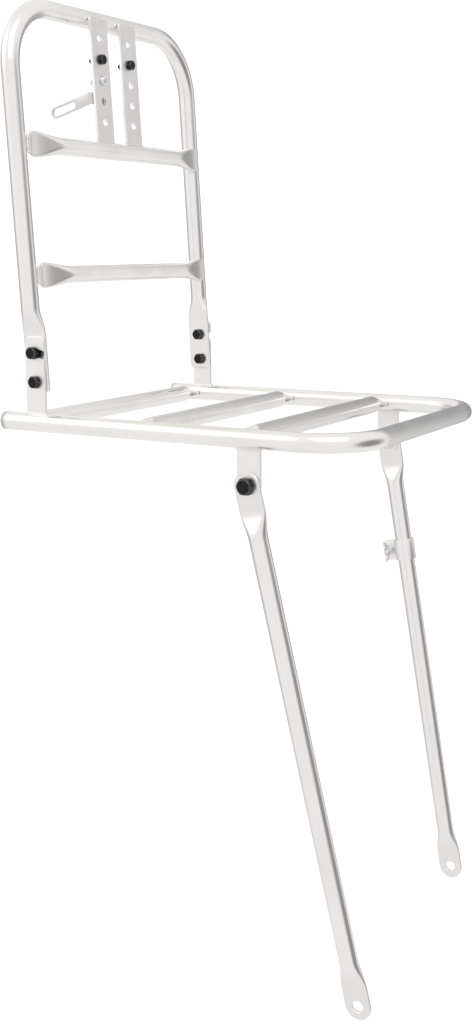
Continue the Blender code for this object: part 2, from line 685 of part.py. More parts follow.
def add_stay_screw(front, back, material):
    """The screw through the left strip and the stay's leaf, and its nut."""
    grip = STRIP_THICKNESS + GAP + STAY_THICKNESS
    add_pan_screw("stay_screw", M5, grip + GAP + M5[3] + THREAD_TAIL, back, front, Y_AXIS, material)
    add_nut("stay_nut", M5, back, front + Y_AXIS * grip, Y_AXIS, material)


def add_pan_screw(name, size, reach, parent, seat, direction, material):
    """A round-headed screw whose head sits at seat and whose shank ends at reach."""
    thread, flats, head, _, _ = size
    rows = []
    for turn in map(math.radians, DOME_TURNS):
        rows.append((-GAP - head * math.sin(turn), flats / 2 * math.cos(turn), False))
    rows += [(-GAP, thread, False), (reach, thread, False)]
    screw = add_object(name, loft(bmesh.new(), turned(rows)), material, parent)
    return seat_at(screw, seat, direction)


# Legs

def add_leg(side, tilt, rack, looks):
    """A leg under an empty on its pivot bolt; it hangs tilted forward."""
    word = SIDE_NAME[side]
    hung_at = (side * LEG_X, LEG_PIVOT_Y, -LEG_PIVOT_DROP)
    pivot = add_pivot(f"leg_{word}_pivot", rack, hung_at, (-tilt, 0, 0))
    tip = pressed_half_width(TUBE_RADIUS)
    ends = ((tip + LEG_TOP_FLAT, LEG_TAPER, tip), (tip + LEG_FOOT_FLAT, LEG_TAPER, tip))
    leg = pressed_tube(f"leg_{word}", LEG_LENGTH + 2 * tip, TUBE_RADIUS, ends, looks["tube"], pivot)
    vent_at = Z_AXIS * (tip + LEG_TOP_FLAT + LEG_TAPER + VENT_SETBACK)
    drill(leg, [clearance_hole(Z_AXIS * tip, X_AXIS, M8),
                vent_hole(vent_at, -side * X_AXIS, TUBE_RADIUS),
                (Z_AXIS * (tip + LEG_LENGTH), X_AXIS, AXLE_EYE_RADIUS, DRILL_LENGTH)])
    place(leg, (0, 0, tip), (math.pi, 0, 0))
    return pivot


def clip_outline():
    """Section of the clip: a ring round the leg with two ears towards the rear."""
    steps = 2 * TUBE_SIDES
    slit = CLIP_EAR_GAP / 2
    inner_turn = math.degrees(math.asin(slit / CLIP_INNER))
    outer_turn = math.degrees(math.asin(CLIP_CHEEK / CLIP_OUTER))
    return [Vector((slit, CLIP_EAR_END, 0)),
            *arc(Vector(), CLIP_INNER, inner_turn, 360 - inner_turn, steps, Y_AXIS, X_AXIS),
            Vector((-slit, CLIP_EAR_END, 0)), Vector((-CLIP_CHEEK, CLIP_EAR_END, 0)),
            *arc(Vector(), CLIP_OUTER, 360 - outer_turn, outer_turn, steps, Y_AXIS, X_AXIS),
            Vector((CLIP_CHEEK, CLIP_EAR_END, 0))]


def wing_outline(side):
    """Outline of one wing in the plane through the nut's axis."""
    tip = WING_SPAN / 2
    top = HUB_LENGTH + WING_RISE
    bore = M5[0] + BOLT_PLAY + WING_ROUND / 2
    points = ((HUB_RADIUS - HUB_TAPER / 2, WING_ROOT_SHARE * HUB_LENGTH), (tip - 2 * WING_ROUND, HUB_LENGTH),
              (tip, top - WING_ROUND), (tip - WING_ROUND, top), (tip - 3 * WING_ROUND, top - WING_ROUND),
              (bore + WING_ROUND, HUB_LENGTH - WING_ROUND / 2), (bore, HUB_LENGTH / 2))
    return [Vector((-side * across, 0, up)) for across, up in points]


def add_wing_nut(clip, material):
    """The wing nut on the clip's inner side, with its origin on the screw's axis."""
    seat = Vector((-CLIP_CHEEK, CLIP_SCREW_OFFSET, 0))
    rows = ((GAP, HUB_RADIUS, False), (HUB_LENGTH, HUB_RADIUS - HUB_TAPER, False))
    nut = add_threaded_ring("wing_nut", rows, M5[0], clip, seat, -X_AXIS, material)
    bm = bmesh.new()
    for side in SIDE_NAME:
        plate(bm, wing_outline(side), WING_THICKNESS, Y_AXIS)
    wings = seat_at(add_object("wing_nut_wings", bm, material, clip), seat, -X_AXIS)
    combine(nut, wings, "UNION")
    return nut


def add_clip(leg_pivot, looks):
    """The lamp clip that slides on the right leg and is nipped up by its wing nut."""
    clip = add_pivot("clip_place", leg_pivot, (0, 0, -CLIP_DISTANCE))
    ring = plate(bmesh.new(), clip_outline(), CLIP_HEIGHT, Z_AXIS)
    band = add_object("clip_band", ring, looks["plate"], clip)
    drill(band, [clearance_hole(Vector((0, CLIP_SCREW_OFFSET, 0)), X_AXIS, M5)])
    reach = 2 * CLIP_CHEEK + HUB_LENGTH + THREAD_TAIL
    outer_ear = Vector((CLIP_CHEEK, CLIP_SCREW_OFFSET, 0))
    add_pan_screw("clip_screw", M5, reach, clip, outer_ear, -X_AXIS, looks["washer"])
    add_wing_nut(clip, looks["washer"])


def axle_middle():
    """The point midway between the two axle eyes, from the pivot line at rail height."""
    tilts = (LEFT_LEG_TILT, RIGHT_LEG_TILT)
    forward = LEG_LENGTH * sum(math.sin(tilt) for tilt in tilts) / 2
    down = LEG_LENGTH * sum(math.cos(tilt) for tilt in tilts) / 2
    return Vector((0, LEG_PIVOT_Y - forward, -LEG_PIVOT_DROP - down))


def main():
    clear_scene()
    looks = {
        "tube": make_material("bright_tube", (0.86, 0.86, 0.85), 0.22, 1.0),
        "plate": make_material("bright_plate", (0.84, 0.83, 0.81), 0.3, 1.0),
        "washer": make_material("zinc", (0.78, 0.79, 0.8), 0.35, 1.0),
        "bolt": make_material("black_bolt", (0.03, 0.03, 0.032), 0.45, 0.6),
        "plug": make_material("grey_plug", (0.7, 0.7, 0.69), 0.5, 0.0),
    }
    rack = add_pivot("rack", None, -axle_middle())
    add_deck(rack, looks)
    add_back_frame(rack, looks)
    add_leg(LEFT, LEFT_LEG_TILT, rack, looks)
    right_leg = add_leg(RIGHT, RIGHT_LEG_TILT, rack, looks)
    add_clip(right_leg, looks)


main()
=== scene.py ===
"""Looks for a folding front rack: plated tube, pressed plates, weld beads, fasteners and a white studio.

Every finished piece is worked out as arrays of points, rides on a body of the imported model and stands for
its plain node there. Lengths are metres in the model's own frame: +Z is up and the rack's front faces -Y.
"""

import json
import logging
import math
from dataclasses import dataclass
from enum import Enum
from typing import Callable, Sequence

import bmesh
import bpy
import numpy as np
from mathutils import Matrix, Vector
from mathutils.geometry import delaunay_2d_cdt

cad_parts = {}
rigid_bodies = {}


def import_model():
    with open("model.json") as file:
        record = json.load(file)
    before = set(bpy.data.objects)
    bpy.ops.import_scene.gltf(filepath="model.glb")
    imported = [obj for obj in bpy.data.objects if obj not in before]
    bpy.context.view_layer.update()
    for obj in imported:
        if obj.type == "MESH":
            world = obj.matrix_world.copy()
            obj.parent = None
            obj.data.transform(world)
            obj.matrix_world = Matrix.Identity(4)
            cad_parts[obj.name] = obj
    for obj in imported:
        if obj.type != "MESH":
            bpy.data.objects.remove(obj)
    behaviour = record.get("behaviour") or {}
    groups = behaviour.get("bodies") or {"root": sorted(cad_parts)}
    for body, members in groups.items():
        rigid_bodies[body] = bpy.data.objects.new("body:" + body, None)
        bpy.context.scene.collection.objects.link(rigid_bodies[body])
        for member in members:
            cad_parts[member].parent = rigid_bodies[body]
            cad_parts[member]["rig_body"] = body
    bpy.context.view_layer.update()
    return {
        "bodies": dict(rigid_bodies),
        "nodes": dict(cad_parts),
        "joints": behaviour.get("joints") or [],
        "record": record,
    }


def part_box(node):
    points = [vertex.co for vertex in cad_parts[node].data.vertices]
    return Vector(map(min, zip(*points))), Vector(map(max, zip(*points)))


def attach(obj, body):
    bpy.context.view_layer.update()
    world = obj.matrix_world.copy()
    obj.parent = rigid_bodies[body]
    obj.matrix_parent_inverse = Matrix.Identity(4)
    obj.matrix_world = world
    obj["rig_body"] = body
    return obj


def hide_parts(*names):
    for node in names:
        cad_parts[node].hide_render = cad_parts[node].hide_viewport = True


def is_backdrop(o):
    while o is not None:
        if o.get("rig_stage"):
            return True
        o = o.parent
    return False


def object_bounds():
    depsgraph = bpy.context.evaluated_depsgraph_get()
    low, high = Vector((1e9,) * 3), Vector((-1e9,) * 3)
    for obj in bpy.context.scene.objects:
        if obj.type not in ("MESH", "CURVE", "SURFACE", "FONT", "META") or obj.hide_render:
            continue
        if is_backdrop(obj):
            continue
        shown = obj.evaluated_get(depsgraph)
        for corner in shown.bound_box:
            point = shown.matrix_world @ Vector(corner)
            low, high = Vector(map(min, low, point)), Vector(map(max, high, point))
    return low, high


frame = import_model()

log = logging.getLogger("rack")
Array = np.ndarray
Colour = tuple[float, float, float]
MM = 0.001

ROUND_COLUMNS = 96  # points round a tube
BOLT_COLUMNS = 72  # points round a turned piece, a multiple of the six flats
BEAD_COLUMNS = 10
BEAD_STEP = 0.35 * MM
DROP_LENGTH = 1.3 * MM  # of one drop of a weld bead
BEND_ROWS = 28
TIP_ROWS = 12
TAPER_ROWS = 21
CONE_ROWS = 7
THREAD_ROWS = 8  # along one pitch
ROW_SPACING = 6 * MM
OUTLINE_SPACING = 1.2 * MM
EDGE_STEPS = 4
WELD_WITHIN = 2e-7
SHARP_ANGLE = math.radians(32)
X_AXIS, Y_AXIS, Z_AXIS = np.eye(3)


class Side(Enum):
    """The two sides of the rack; the value is the sign of X."""

    LEFT = -1
    RIGHT = 1

    @property
    def word(self) -> str:
        """The side's name as the nodes spell it."""
        return self.name.lower()


class Edge(Enum):
    """How a piece's shading breaks at its edges."""

    SOFT = "smooth everywhere"
    CRISP = "sharp where faces meet at a steep angle"


# Where things are

@dataclass(frozen=True)
class Axes:
    """A right-handed frame in space: an origin and three unit directions, one per row."""

    origin: Array
    rows: Array

    def out(self, local: Array) -> Array:
        """World points of local ones: the origin plus each coordinate along its direction."""
        return self.origin + np.asarray(local, float) @ self.rows

    def into(self, world: Array) -> Array:
        """Local coordinates of world points."""
        return (np.asarray(world, float) - self.origin) @ self.rows.T


def tilted(origin: Sequence[float], lean: float) -> Axes:
    """Axes turned about X so that their up direction leans by an angle towards +Y.

    Args:
        origin: where the turned axes start.
        lean: the angle in radians.

    Returns:
        The turned axes.
    """
    up = np.array([0.0, math.sin(lean), math.cos(lean)])
    rear = np.array([0.0, math.cos(lean), -math.sin(lean)])
    return Axes(np.array(origin, float), np.array([X_AXIS, rear, up]))


def axes_along(seat: Array, direction: Array) -> Axes:
    """Axes whose third direction is the one given, with the first as near to +Z as it can be.

    Args:
        seat: where the axes start.
        direction: the third direction, of any length.

    Returns:
        The axes.
    """
    third = direction / np.linalg.norm(direction)
    helper = Z_AXIS if abs(third[2]) < 0.9 else Y_AXIS
    first = helper - third * (helper @ third)
    first /= np.linalg.norm(first)
    return Axes(np.array(seat, float), np.array([first, np.cross(third, first), third]))


class Layout:
    """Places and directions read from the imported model."""

    def __init__(self, packed: dict) -> None:
        """Reads the joints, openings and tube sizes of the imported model.

        Args:
            packed: the loaded frame, with its record and its nodes.
        """
        record = packed["record"]
        self.nodes = packed["nodes"]
        self.joints = {joint["name"]: joint for joint in record["behaviour"]["joints"]}
        self.openings = {opening["name"]: opening["box_m"] for opening in record["physics"]["openings"]}
        low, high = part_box("deck_hoop")
        self.tube = (high.z - low.z) / 2
        self.rail_x = high.x - self.tube
        self.deck_z = (high.z + low.z) / 2
        self.front_y = low.y + self.tube
        self.rear_y = high.y
        self.bar = (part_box("slat_rear")[1].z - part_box("slat_rear")[0].z) / 2
        swivel = np.array(self.joints["stay_swivel"]["axis"])
        self.back = tilted(self.joint_place("back_fold"), math.atan2(-swivel[2], swivel[1]))
        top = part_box("back_hoop")[1].z - self.tube
        self.back_height = (top - self.back.origin[2]) / self.back.rows[2][2]

    def joint_place(self, name: str) -> Array:
        """Where a joint's axis is."""
        return np.array(self.joints[name]["pos_m"], float)

    def opening_middle(self, name: str) -> Array:
        """The middle of a stated opening."""
        return np.array(self.openings[name], float).mean(axis=0)

    def points(self, node: str) -> Array:
        """The corner points of a node.

        Args:
            node: the node's name.

        Returns:
            One row for each corner of its mesh.
        """
        mesh = self.nodes[node].data
        found = np.empty(len(mesh.vertices) * 3, np.float32)
        mesh.vertices.foreach_get("co", found)
        return found.reshape(-1, 3).astype(float)

    def middle(self, node: str) -> Array:
        """The middle of a node's box."""
        low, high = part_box(node)
        return np.array((low + high) / 2)

    def span(self, node: str, direction: Array) -> tuple[float, float]:
        """How low and how high a node reaches along a direction.

        Args:
            node: the node's name.
            direction: a unit direction.

        Returns:
            The lowest and the highest reach.
        """
        reach = self.points(node) @ direction
        return float(reach.min()), float(reach.max())

    def leg(self, side: Side) -> tuple[Axes, float]:
        """A leg's axes and length, from the places of its pivot and its axle eye.

        Args:
            side: whose leg it is.

        Returns:
            Axes at the pivot, with down the leg as minus the third direction, and the length to the eye.
        """
        pivot = self.joint_place(f"leg_{side.word}_fold")
        down = self.opening_middle(f"axle_eye_{side.word}") - pivot
        return tilted(pivot, math.atan2(-down[1], -down[2])), float(math.hypot(down[1], down[2]))

    def strip_hole(self, side: Side, number: int, count: int) -> Array:
        """The middle of a strip's hole; the holes are evenly spaced from the first to the last.

        Args:
            side: whose strip it is.
            number: the hole, counted down from 0.
            count: how many holes the strip has.

        Returns:
            The point in the middle of the hole.
        """
        first = self.opening_middle(f"strip_{side.word}_hole_1")
        last = self.opening_middle(f"strip_{side.word}_hole_{count}")
        return first + (last - first) * number / (count - 1)


layout = Layout(frame)


# Surfaces

@dataclass
class Patch:
    """One surface: its points, its faces, and what the finishes read at each point."""

    points: Array
    faces: list
    lay: Array
    wear: Array
    flat: bool = False


def grid_faces(rows: int, columns: int, wrap_rows: bool, wrap_columns: bool) -> Array:
    """The quads of a grid of points that are counted row by row.

    Args:
        rows: how many rows.
        columns: how many columns.
        wrap_rows: joins the last row to the first.
        wrap_columns: joins the last column to the first.

    Returns:
        Four corner numbers for each quad.
    """
    first = np.arange(rows if wrap_rows else rows - 1)
    second = np.arange(columns if wrap_columns else columns - 1)
    row, column = np.meshgrid(first, second, indexing="ij")
    next_row, next_column = (row + 1) % rows, (column + 1) % columns
    corners = (row * columns + column, row * columns + next_column,
               next_row * columns + next_column, next_row * columns + column)
    return np.stack(corners, axis=-1).reshape(-1, 4)


def grid_patch(points: Array, lay: Array, wear: Array, wrap_rows: bool = False,
               wrap_columns: bool = True) -> Patch:
    """A patch from points on a grid.

    Args:
        points: an array of rows by columns by 3.
        lay: where each point was before the piece was bent, same shape as points.
        wear: how worn or heated the piece is there, from 0 to 1, rows by columns; on plates it marks the
            rounded edges that get painted edge light.
        wrap_rows: joins the last row to the first.
        wrap_columns: joins the last column to the first.

    Returns:
        The patch.
    """
    rows, columns = points.shape[:2]
    faces = grid_faces(rows, columns, wrap_rows, wrap_columns).tolist()
    worn = np.broadcast_to(wear, (rows, columns)).ravel()
    return Patch(points.reshape(-1, 3), faces, lay.reshape(-1, 3), worn)


def link(name: str, data: bpy.types.ID) -> bpy.types.Object:
    """Puts data in the scene as an object.

    Args:
        name: the object's name.
        data: its mesh, lamp or camera.

    Returns:
        The object.
    """
    made = bpy.data.objects.new(name, data)
    bpy.context.scene.collection.objects.link(made)
    return made


def make_mesh(name: str, patches: Sequence[Patch], edge: Edge) -> bpy.types.Object:
    """One object from patches, with shared borders merged and every face pointing outwards.

    Args:
        name: the object's name.
        patches: its surfaces.
        edge: how its shading breaks.

    Returns:
        The object, at the origin.
    """
    starts = np.cumsum([0] + [len(patch.points) for patch in patches])
    faces, smooth = [], []
    for start, patch in zip(starts, patches):
        faces += [[corner + int(start) for corner in face] for face in patch.faces]
        smooth += [not patch.flat] * len(patch.faces)
    mesh = bpy.data.meshes.new(name)
    mesh.from_pydata(np.concatenate([patch.points for patch in patches]).tolist(), [], faces)
    mesh.polygons.foreach_set("use_smooth", smooth)
    for reading, kind, key in (("lay", "FLOAT_VECTOR", "vector"), ("wear", "FLOAT", "value")):
        values = np.concatenate([getattr(patch, reading) for patch in patches]).astype(np.float32)
        mesh.attributes.new(reading, kind, "POINT").data.foreach_set(key, values.ravel())
    bm = bmesh.new()
    bm.from_mesh(mesh)
    bmesh.ops.remove_doubles(bm, verts=bm.verts, dist=WELD_WITHIN)
    bmesh.ops.recalc_face_normals(bm, faces=bm.faces)
    bm.to_mesh(mesh)
    bm.free()
    if edge is Edge.CRISP:
        mesh.set_sharp_from_angle(angle=SHARP_ANGLE)
    return link(name, mesh)


def cut(target: bpy.types.Object, cutter_patches: Sequence[Patch]) -> None:
    """Takes closed shapes out of an object, and leaves no modifier behind.

    Args:
        target: the object.
        cutter_patches: the surfaces of the closed shapes.
    """
    cutter = make_mesh(target.name + "_cutter", cutter_patches, Edge.SOFT)
    modifier = target.modifiers.new("cut", "BOOLEAN")
    modifier.operation = "DIFFERENCE"
    modifier.solver = "EXACT"
    modifier.object = cutter
    depsgraph = bpy.context.evaluated_depsgraph_get()
    whole = bpy.data.meshes.new_from_object(target.evaluated_get(depsgraph))
    target.modifiers.clear()
    target.data = whole
    bpy.data.objects.remove(cutter, do_unlink=True)


def smoothstep(share: Array) -> Array:
    """Eases 0 to 1 with level ends: three times the square less twice the cube."""
    share = np.clip(share, 0, 1)
    return share * share * (3 - 2 * share)


def near(distance: Array, reach: float) -> Array:
    """A bell of height 1 at distance 0: the exponential of minus the squared distance in reaches."""
    return np.exp(-((distance / reach) ** 2))


def abreast(*values: Array | float) -> Array:
    """Puts lists of values side by side as the columns of one array; a lone number fills its column."""
    return np.stack(np.broadcast_arrays(*values), axis=-1)


# Tubes

def girth_section(half_thickness: Array, half_straight: Array, columns: int) -> Array:
    """Sections of a round tube that is pressed flatter row by row.

    Each point keeps its share of the girth, so the section is a stadium: a quarter of it runs along the flat
    for half_straight, then round an arc of radius half_thickness, and is mirrored into the other quarters.

    Args:
        half_thickness: half the pressed thickness of each row.
        half_straight: half the straight side of each row.
        columns: points round the section.

    Returns:
        An array of rows by columns by 2, across the flat and through the thickness.
    """
    turn = (np.arange(columns) + 0.5) / columns * 4
    quarter = turn.astype(int)
    share = turn - quarter
    share = np.where(quarter % 2 == 0, share, 1 - share)
    thick, straight = half_thickness[:, None], half_straight[:, None]
    run = share[None, :] * (straight + math.pi / 2 * thick)
    angle = np.clip((run - straight) / np.maximum(thick, 1e-9), 0, None)
    across = (np.minimum(run, straight) + thick * np.sin(angle)) * np.where(quarter < 2, 1, -1)
    through = thick * np.cos(angle) * np.where(quarter % 3 == 0, 1, -1)
    return np.stack([across, through], axis=-1)


@dataclass(frozen=True)
class Press:
    """How a tube's end is pressed flat: lengths from its tip, and the radius of the tip's corners."""

    flat: float
    taper: float
    corner: float
    half_thickness: float = 1.5 * MM
    rim: float = 0.45 * MM

    def rows(self, radius: float) -> Array:
        """Rows of (distance from the tip, half thickness, half straight) from the tip to the round tube.

        The girth stays the same while the tube flattens, so half the straight side is a quarter turn's
        worth of what the radius lost: pi over 2 times the radius less the half thickness.

        Args:
            radius: the round tube's.

        Returns:
            The rows.
        """
        full = math.pi / 2 * (radius - self.half_thickness)
        least = 0.3 * MM
        start = math.asin(max(0.0, (least - full + self.corner) / self.corner))
        turn = np.linspace(start, math.pi / 2, TIP_ROWS)
        away = self.corner * (1 - np.cos(turn))
        straight = full - self.corner * (1 - np.sin(turn))
        tip = abreast(away, self.half_thickness, straight)
        lip = tip[[0, 0, 0]].copy()
        lip[0] = (away[0] + self.rim, 0.0, straight[0])
        lip[1] = (away[0], self.rim / 2, straight[0])
        lip[2] = (away[0], self.half_thickness - self.rim, straight[0])
        tip[0, 0] += self.rim / 3
        level = np.linspace(self.corner, self.flat, max(3, int(self.flat / ROW_SPACING)))[1:]
        plain = abreast(level, self.half_thickness, full)
        share = np.linspace(0, 1, TAPER_ROWS + 1)[1:]
        half = self.half_thickness + (radius - self.half_thickness) * smoothstep(share)
        grown = abreast(self.flat + self.taper * share, half, math.pi / 2 * (radius - half))
        return np.concatenate([lip, tip, plain, grown])


def directions(points: Array) -> Array:
    """The unit direction of a line at each of its points."""
    along = np.gradient(points, axis=0)
    return along / np.linalg.norm(along, axis=1)[:, None]


def distances(points: Array) -> Array:
    """How far along a line each of its points is."""
    return np.concatenate([[0], np.cumsum(np.linalg.norm(np.diff(points, axis=0), axis=1))])


def swept(path: Array, tangent: Array, wide: Array, section: Array, radius: float, wear: Array) -> Patch:
    """Carries sections along a path.

    A point is the path's point, plus across times the wide direction, plus through times the direction that
    is square to both the path and the wide direction.

    Args:
        path: one point for each row.
        tangent: the path's direction at each row, or one for all.
        wide: the direction of a section's wide side.
        section: rows by columns by (across, through).
        radius: the unpressed radius, which the finishes read as a straight tube's.
        wear: one value for each row.

    Returns:
        The patch.
    """
    thin = np.cross(np.broadcast_to(tangent, path.shape), wide)
    thin /= np.linalg.norm(thin, axis=1)[:, None]
    points = path[:, None] + section[..., :1] * wide + section[..., 1:] * thin[:, None]
    turn = (np.arange(section.shape[1]) + 0.5) / section.shape[1] * math.tau
    lay = abreast(distances(path)[:, None], radius * np.sin(turn), radius * np.cos(turn))
    return grid_patch(points, lay, wear[:, None])


def pressed_tube(start: Array, direction: Array, wide: Array, length: float, radius: float,
                 ends: tuple[Press, Press]) -> Patch:
    """A straight tube with both ends pressed flat.

    Args:
        start: the middle of its first tip.
        direction: the way that it runs.
        wide: the direction that its flat ends are wide in.
        length: from tip to tip.
        radius: of the round part.
        ends: how the first and the last end are pressed.

    Returns:
        The patch.
    """
    first, last = (end.rows(radius) for end in ends)
    last = last[::-1].copy()
    last[:, 0] = length - last[:, 0]
    middle = np.arange(first[-1, 0] + ROW_SPACING, last[0, 0] - ROW_SPACING / 2, ROW_SPACING)
    rows = np.concatenate([first, abreast(middle, radius, 0.0), last])
    section = girth_section(rows[:, 1], rows[:, 2], ROUND_COLUMNS)
    return swept(start + rows[:, :1] * direction, direction, wide, section, radius, 1 - rows[:, 1] / radius)


def heated(patch: Patch, welds: Array, reach: float = 9 * MM, most: float = 0.8) -> Patch:
    """Raises a patch's wear near welds, by a bell over the distance to the nearest one.

    Args:
        patch: the patch.
        welds: the middles of the welds.
        reach: the bell's reach.
        most: its height.

    Returns:
        The same patch.
    """
    away = np.linalg.norm(patch.points[:, None] - welds[None], axis=2).min(axis=1)
    patch.wear = np.maximum(patch.wear, most * near(away, reach))
    return patch


def quarter_bend(middle: Array, radius: float, start: Array, end: Array) -> Array:
    """Points on a quarter circle: the middle, plus the radius times a cosine of start and a sine of end.

    Args:
        middle: the circle's middle.
        radius: its radius.
        start: the unit direction of the first point.
        end: the unit direction of the last one.

    Returns:
        The points.
    """
    turn = np.linspace(0, math.pi / 2, BEND_ROWS)[:, None]
    return middle + radius * (np.cos(turn) * start + np.sin(turn) * end)


def straight_run(start: Array, end: Array) -> Array:
    """Evenly spaced points on a straight line between two ends.

    Args:
        start: one end.
        end: the other.

    Returns:
        The points, without the ends.
    """
    count = max(2, int(np.linalg.norm(end - start) / ROW_SPACING))
    share = np.linspace(0, 1, count + 1)[1:-1, None]
    return start + (end - start) * share


def bead(path: Array, radius: float, closed: bool, seed: int) -> Patch:
    """A weld bead: a round cord whose radius swells and shrinks along its path, as overlapping drops do.

    The radius is the mean one times 1, plus a saw-like ripple, plus a slow wander from a seeded table.

    Args:
        path: corners of the bead's line.
        radius: the mean radius.
        closed: whether the line comes back to its start.
        seed: for the wander.

    Returns:
        The patch.
    """
    if closed:
        path = np.concatenate([path, path[:1]])
    steps = distances(path)
    count = max(12, int(steps[-1] / BEAD_STEP))
    place = np.linspace(0, steps[-1], count, endpoint=not closed)
    line = abreast(*(np.interp(place, steps, path[:, axis]) for axis in range(3)))
    drops = max(2, round(steps[-1] / DROP_LENGTH))
    phase = place / steps[-1] * drops % 1.0
    draw = np.random.default_rng(seed).normal(0, 0.07, drops + 1)
    draw[-1] = draw[0]
    size = radius * (1 + 0.16 * (1 - 2 * np.abs(phase - 0.35) ** 0.8) - 0.08
                     + np.interp(place / steps[-1] * drops, np.arange(drops + 1), draw))
    wide = np.gradient(line, axis=0) if not closed else (np.roll(line, -1, 0) - np.roll(line, 1, 0)) / 2
    wide /= np.linalg.norm(wide, axis=1)[:, None]
    helper = np.where(np.abs(wide[:, 2:]) < 0.8, Z_AXIS, X_AXIS)
    side = np.cross(wide, helper)
    side /= np.linalg.norm(side, axis=1)[:, None]
    up = np.cross(side, wide)
    turn = np.arange(BEAD_COLUMNS) / BEAD_COLUMNS * math.tau
    if not closed:
        ends = np.array([0.0, 0.55, 0.85])
        size[:3] *= ends
        size[-3:] *= ends[::-1]
    ring = np.cos(turn)[:, None] * side[:, None] + np.sin(turn)[:, None] * up[:, None]
    points = line[:, None] + size[:, None, None] * ring
    lay = abreast(place[:, None], radius * np.cos(turn), radius * np.sin(turn))
    return grid_patch(points, lay, phase[:, None], wrap_rows=closed)


# Turned pieces

def turned(profile: Array, axes: Axes, apothem: float = 0.0, wear: Array | None = None,
           pitch: float = 0.0, thread_from: float = math.inf, thread_to: float = -math.inf) -> Patch:
    """A shape turned about the third axis from a profile of (height, radius) rows.

    With an apothem, the radius is the smaller of the profile's and the hexagon's, which is the apothem over
    the cosine of the angle off the nearest flat: a cone in the profile so chamfers the hexagon's corners.
    Between two heights a thread takes up to 0.54 of its pitch off the radius, as a wave that climbs by one
    pitch in a turn.

    Args:
        profile: rows from one end to the other.
        axes: where the piece stands; heights run along its third direction.
        apothem: half the width across flats, or 0 for a round piece.
        wear: one value for each row, brightest where edges rub.
        pitch: the thread's pitch, or 0 for none.
        thread_from: the height where the thread starts.
        thread_to: the height where it ends.

    Returns:
        The patch, open at the profile's ends unless their radius is 0.
    """
    turn = np.arange(BOLT_COLUMNS) / BOLT_COLUMNS * math.tau
    height, radius = profile[:, :1], np.broadcast_to(profile[:, 1:2], (len(profile), BOLT_COLUMNS)).copy()
    if apothem:
        off_flat = (turn + math.pi / 6) % (math.pi / 3) - math.pi / 6
        radius = np.minimum(radius, apothem / np.cos(off_flat))
    if pitch:
        wave = 0.5 - 0.5 * np.cos(math.tau * height / pitch - turn)
        inside = (height > thread_from) & (height < thread_to)
        radius = radius - np.where(inside & (radius > 0), 0.54 * pitch * wave, 0)
    local = abreast(radius * np.cos(turn), radius * np.sin(turn), height)
    worn = np.zeros((len(profile), 1)) if wear is None else np.asarray(wear, float)[:, None]
    corner = near(off_flat - np.sign(off_flat) * math.pi / 6, 0.07) if apothem else np.zeros_like(turn)
    worn = np.maximum(worn, corner[None, :] * (radius > apothem * 0.98 if apothem else 0))
    return grid_patch(axes.out(local), local, worn)


def turned_ring(profile: Array, axes: Axes, apothem: float, wear: Array) -> Patch:
    """A turned shape whose profile is a closed loop.

    Args:
        profile: rows of (height, radius) round the loop.
        axes: where the piece stands.
        apothem: half the width across flats, or 0 for a round piece.
        wear: one value for each row.

    Returns:
        The patch, which closes on itself.
    """
    patch = turned(profile, axes, apothem, wear)
    patch.faces = grid_faces(len(profile), BOLT_COLUMNS, True, True).tolist()
    return patch


def rounded_profile(corners: Sequence[tuple[float, float, float]]) -> tuple[Array, Array]:
    """A profile whose rounded corners become arcs that touch both of their sides.

    Args:
        corners: (height, radius, rounding) in order.

    Returns:
        The profile's rows of (height, radius), and how worn each is.
    """
    rows, worn = [], []
    for index, (height, radius, rounding) in enumerate(corners):
        place = np.array([height, radius])
        if rounding == 0 or index in (0, len(corners) - 1):
            rows.append(place[None])
            worn.append([0.0])
            continue
        before = np.array(corners[index - 1][:2]) - place
        after = np.array(corners[index + 1][:2]) - place
        rows.append(fillet(place, before, after, rounding))
        worn.append([0.7] * len(rows[-1]))
    return np.concatenate(rows), np.concatenate(worn)


def fillet(corner: Array, before: Array, after: Array, radius: float) -> Array:
    """An arc that touches the two sides leaving a corner.

    Args:
        corner: the corner.
        before: from it to the corner before.
        after: from it to the corner after.
        radius: the arc's, which shrinks where a side is short.

    Returns:
        Points on the arc.
    """
    first, second = before / np.linalg.norm(before), after / np.linalg.norm(after)
    half = math.acos(float(np.clip(first @ second, -1, 1))) / 2
    reach = min(radius / math.tan(half), 0.48 * np.linalg.norm(before), 0.48 * np.linalg.norm(after))
    radius = reach * math.tan(half)
    middle = corner + (first + second) / np.linalg.norm(first + second) * math.hypot(reach, radius)
    start, end = corner + first * reach - middle, corner + second * reach - middle
    turn = np.linspace(0, 1, EDGE_STEPS + 1)[:, None]
    swing = math.pi - 2 * half
    return middle + (np.sin((1 - turn) * swing) * start + np.sin(turn * swing) * end) / math.sin(swing)


# Plates

def outline(corners: Sequence[tuple[float, float, float]]) -> Array:
    """A closed outline with rounded corners and points along its long sides too.

    Args:
        corners: (first, second, rounding), counter-clockwise.

    Returns:
        The outline's points.
    """
    found = []
    count = len(corners)
    for index, (first, second, rounding) in enumerate(corners):
        place = np.array([first, second])
        before = np.array(corners[index - 1][:2]) - place
        after = np.array(corners[(index + 1) % count][:2]) - place
        found.append(fillet(place, before, after, rounding) if rounding else place[None])
    loop = np.concatenate(found)
    closed = np.concatenate([loop, loop[:1]])
    pieces = []
    for start, end in zip(closed, closed[1:]):
        steps = max(1, int(np.linalg.norm(end - start) / OUTLINE_SPACING))
        pieces.append(start + (end - start) * np.linspace(0, 1, steps, endpoint=False)[:, None])
    return np.concatenate(pieces)


def circle(middle: Sequence[float], radius: float, count: int = 40) -> Array:
    """Points round a circle."""
    return arc_points(middle, radius, 0.0, math.tau, count + 1)[:-1]


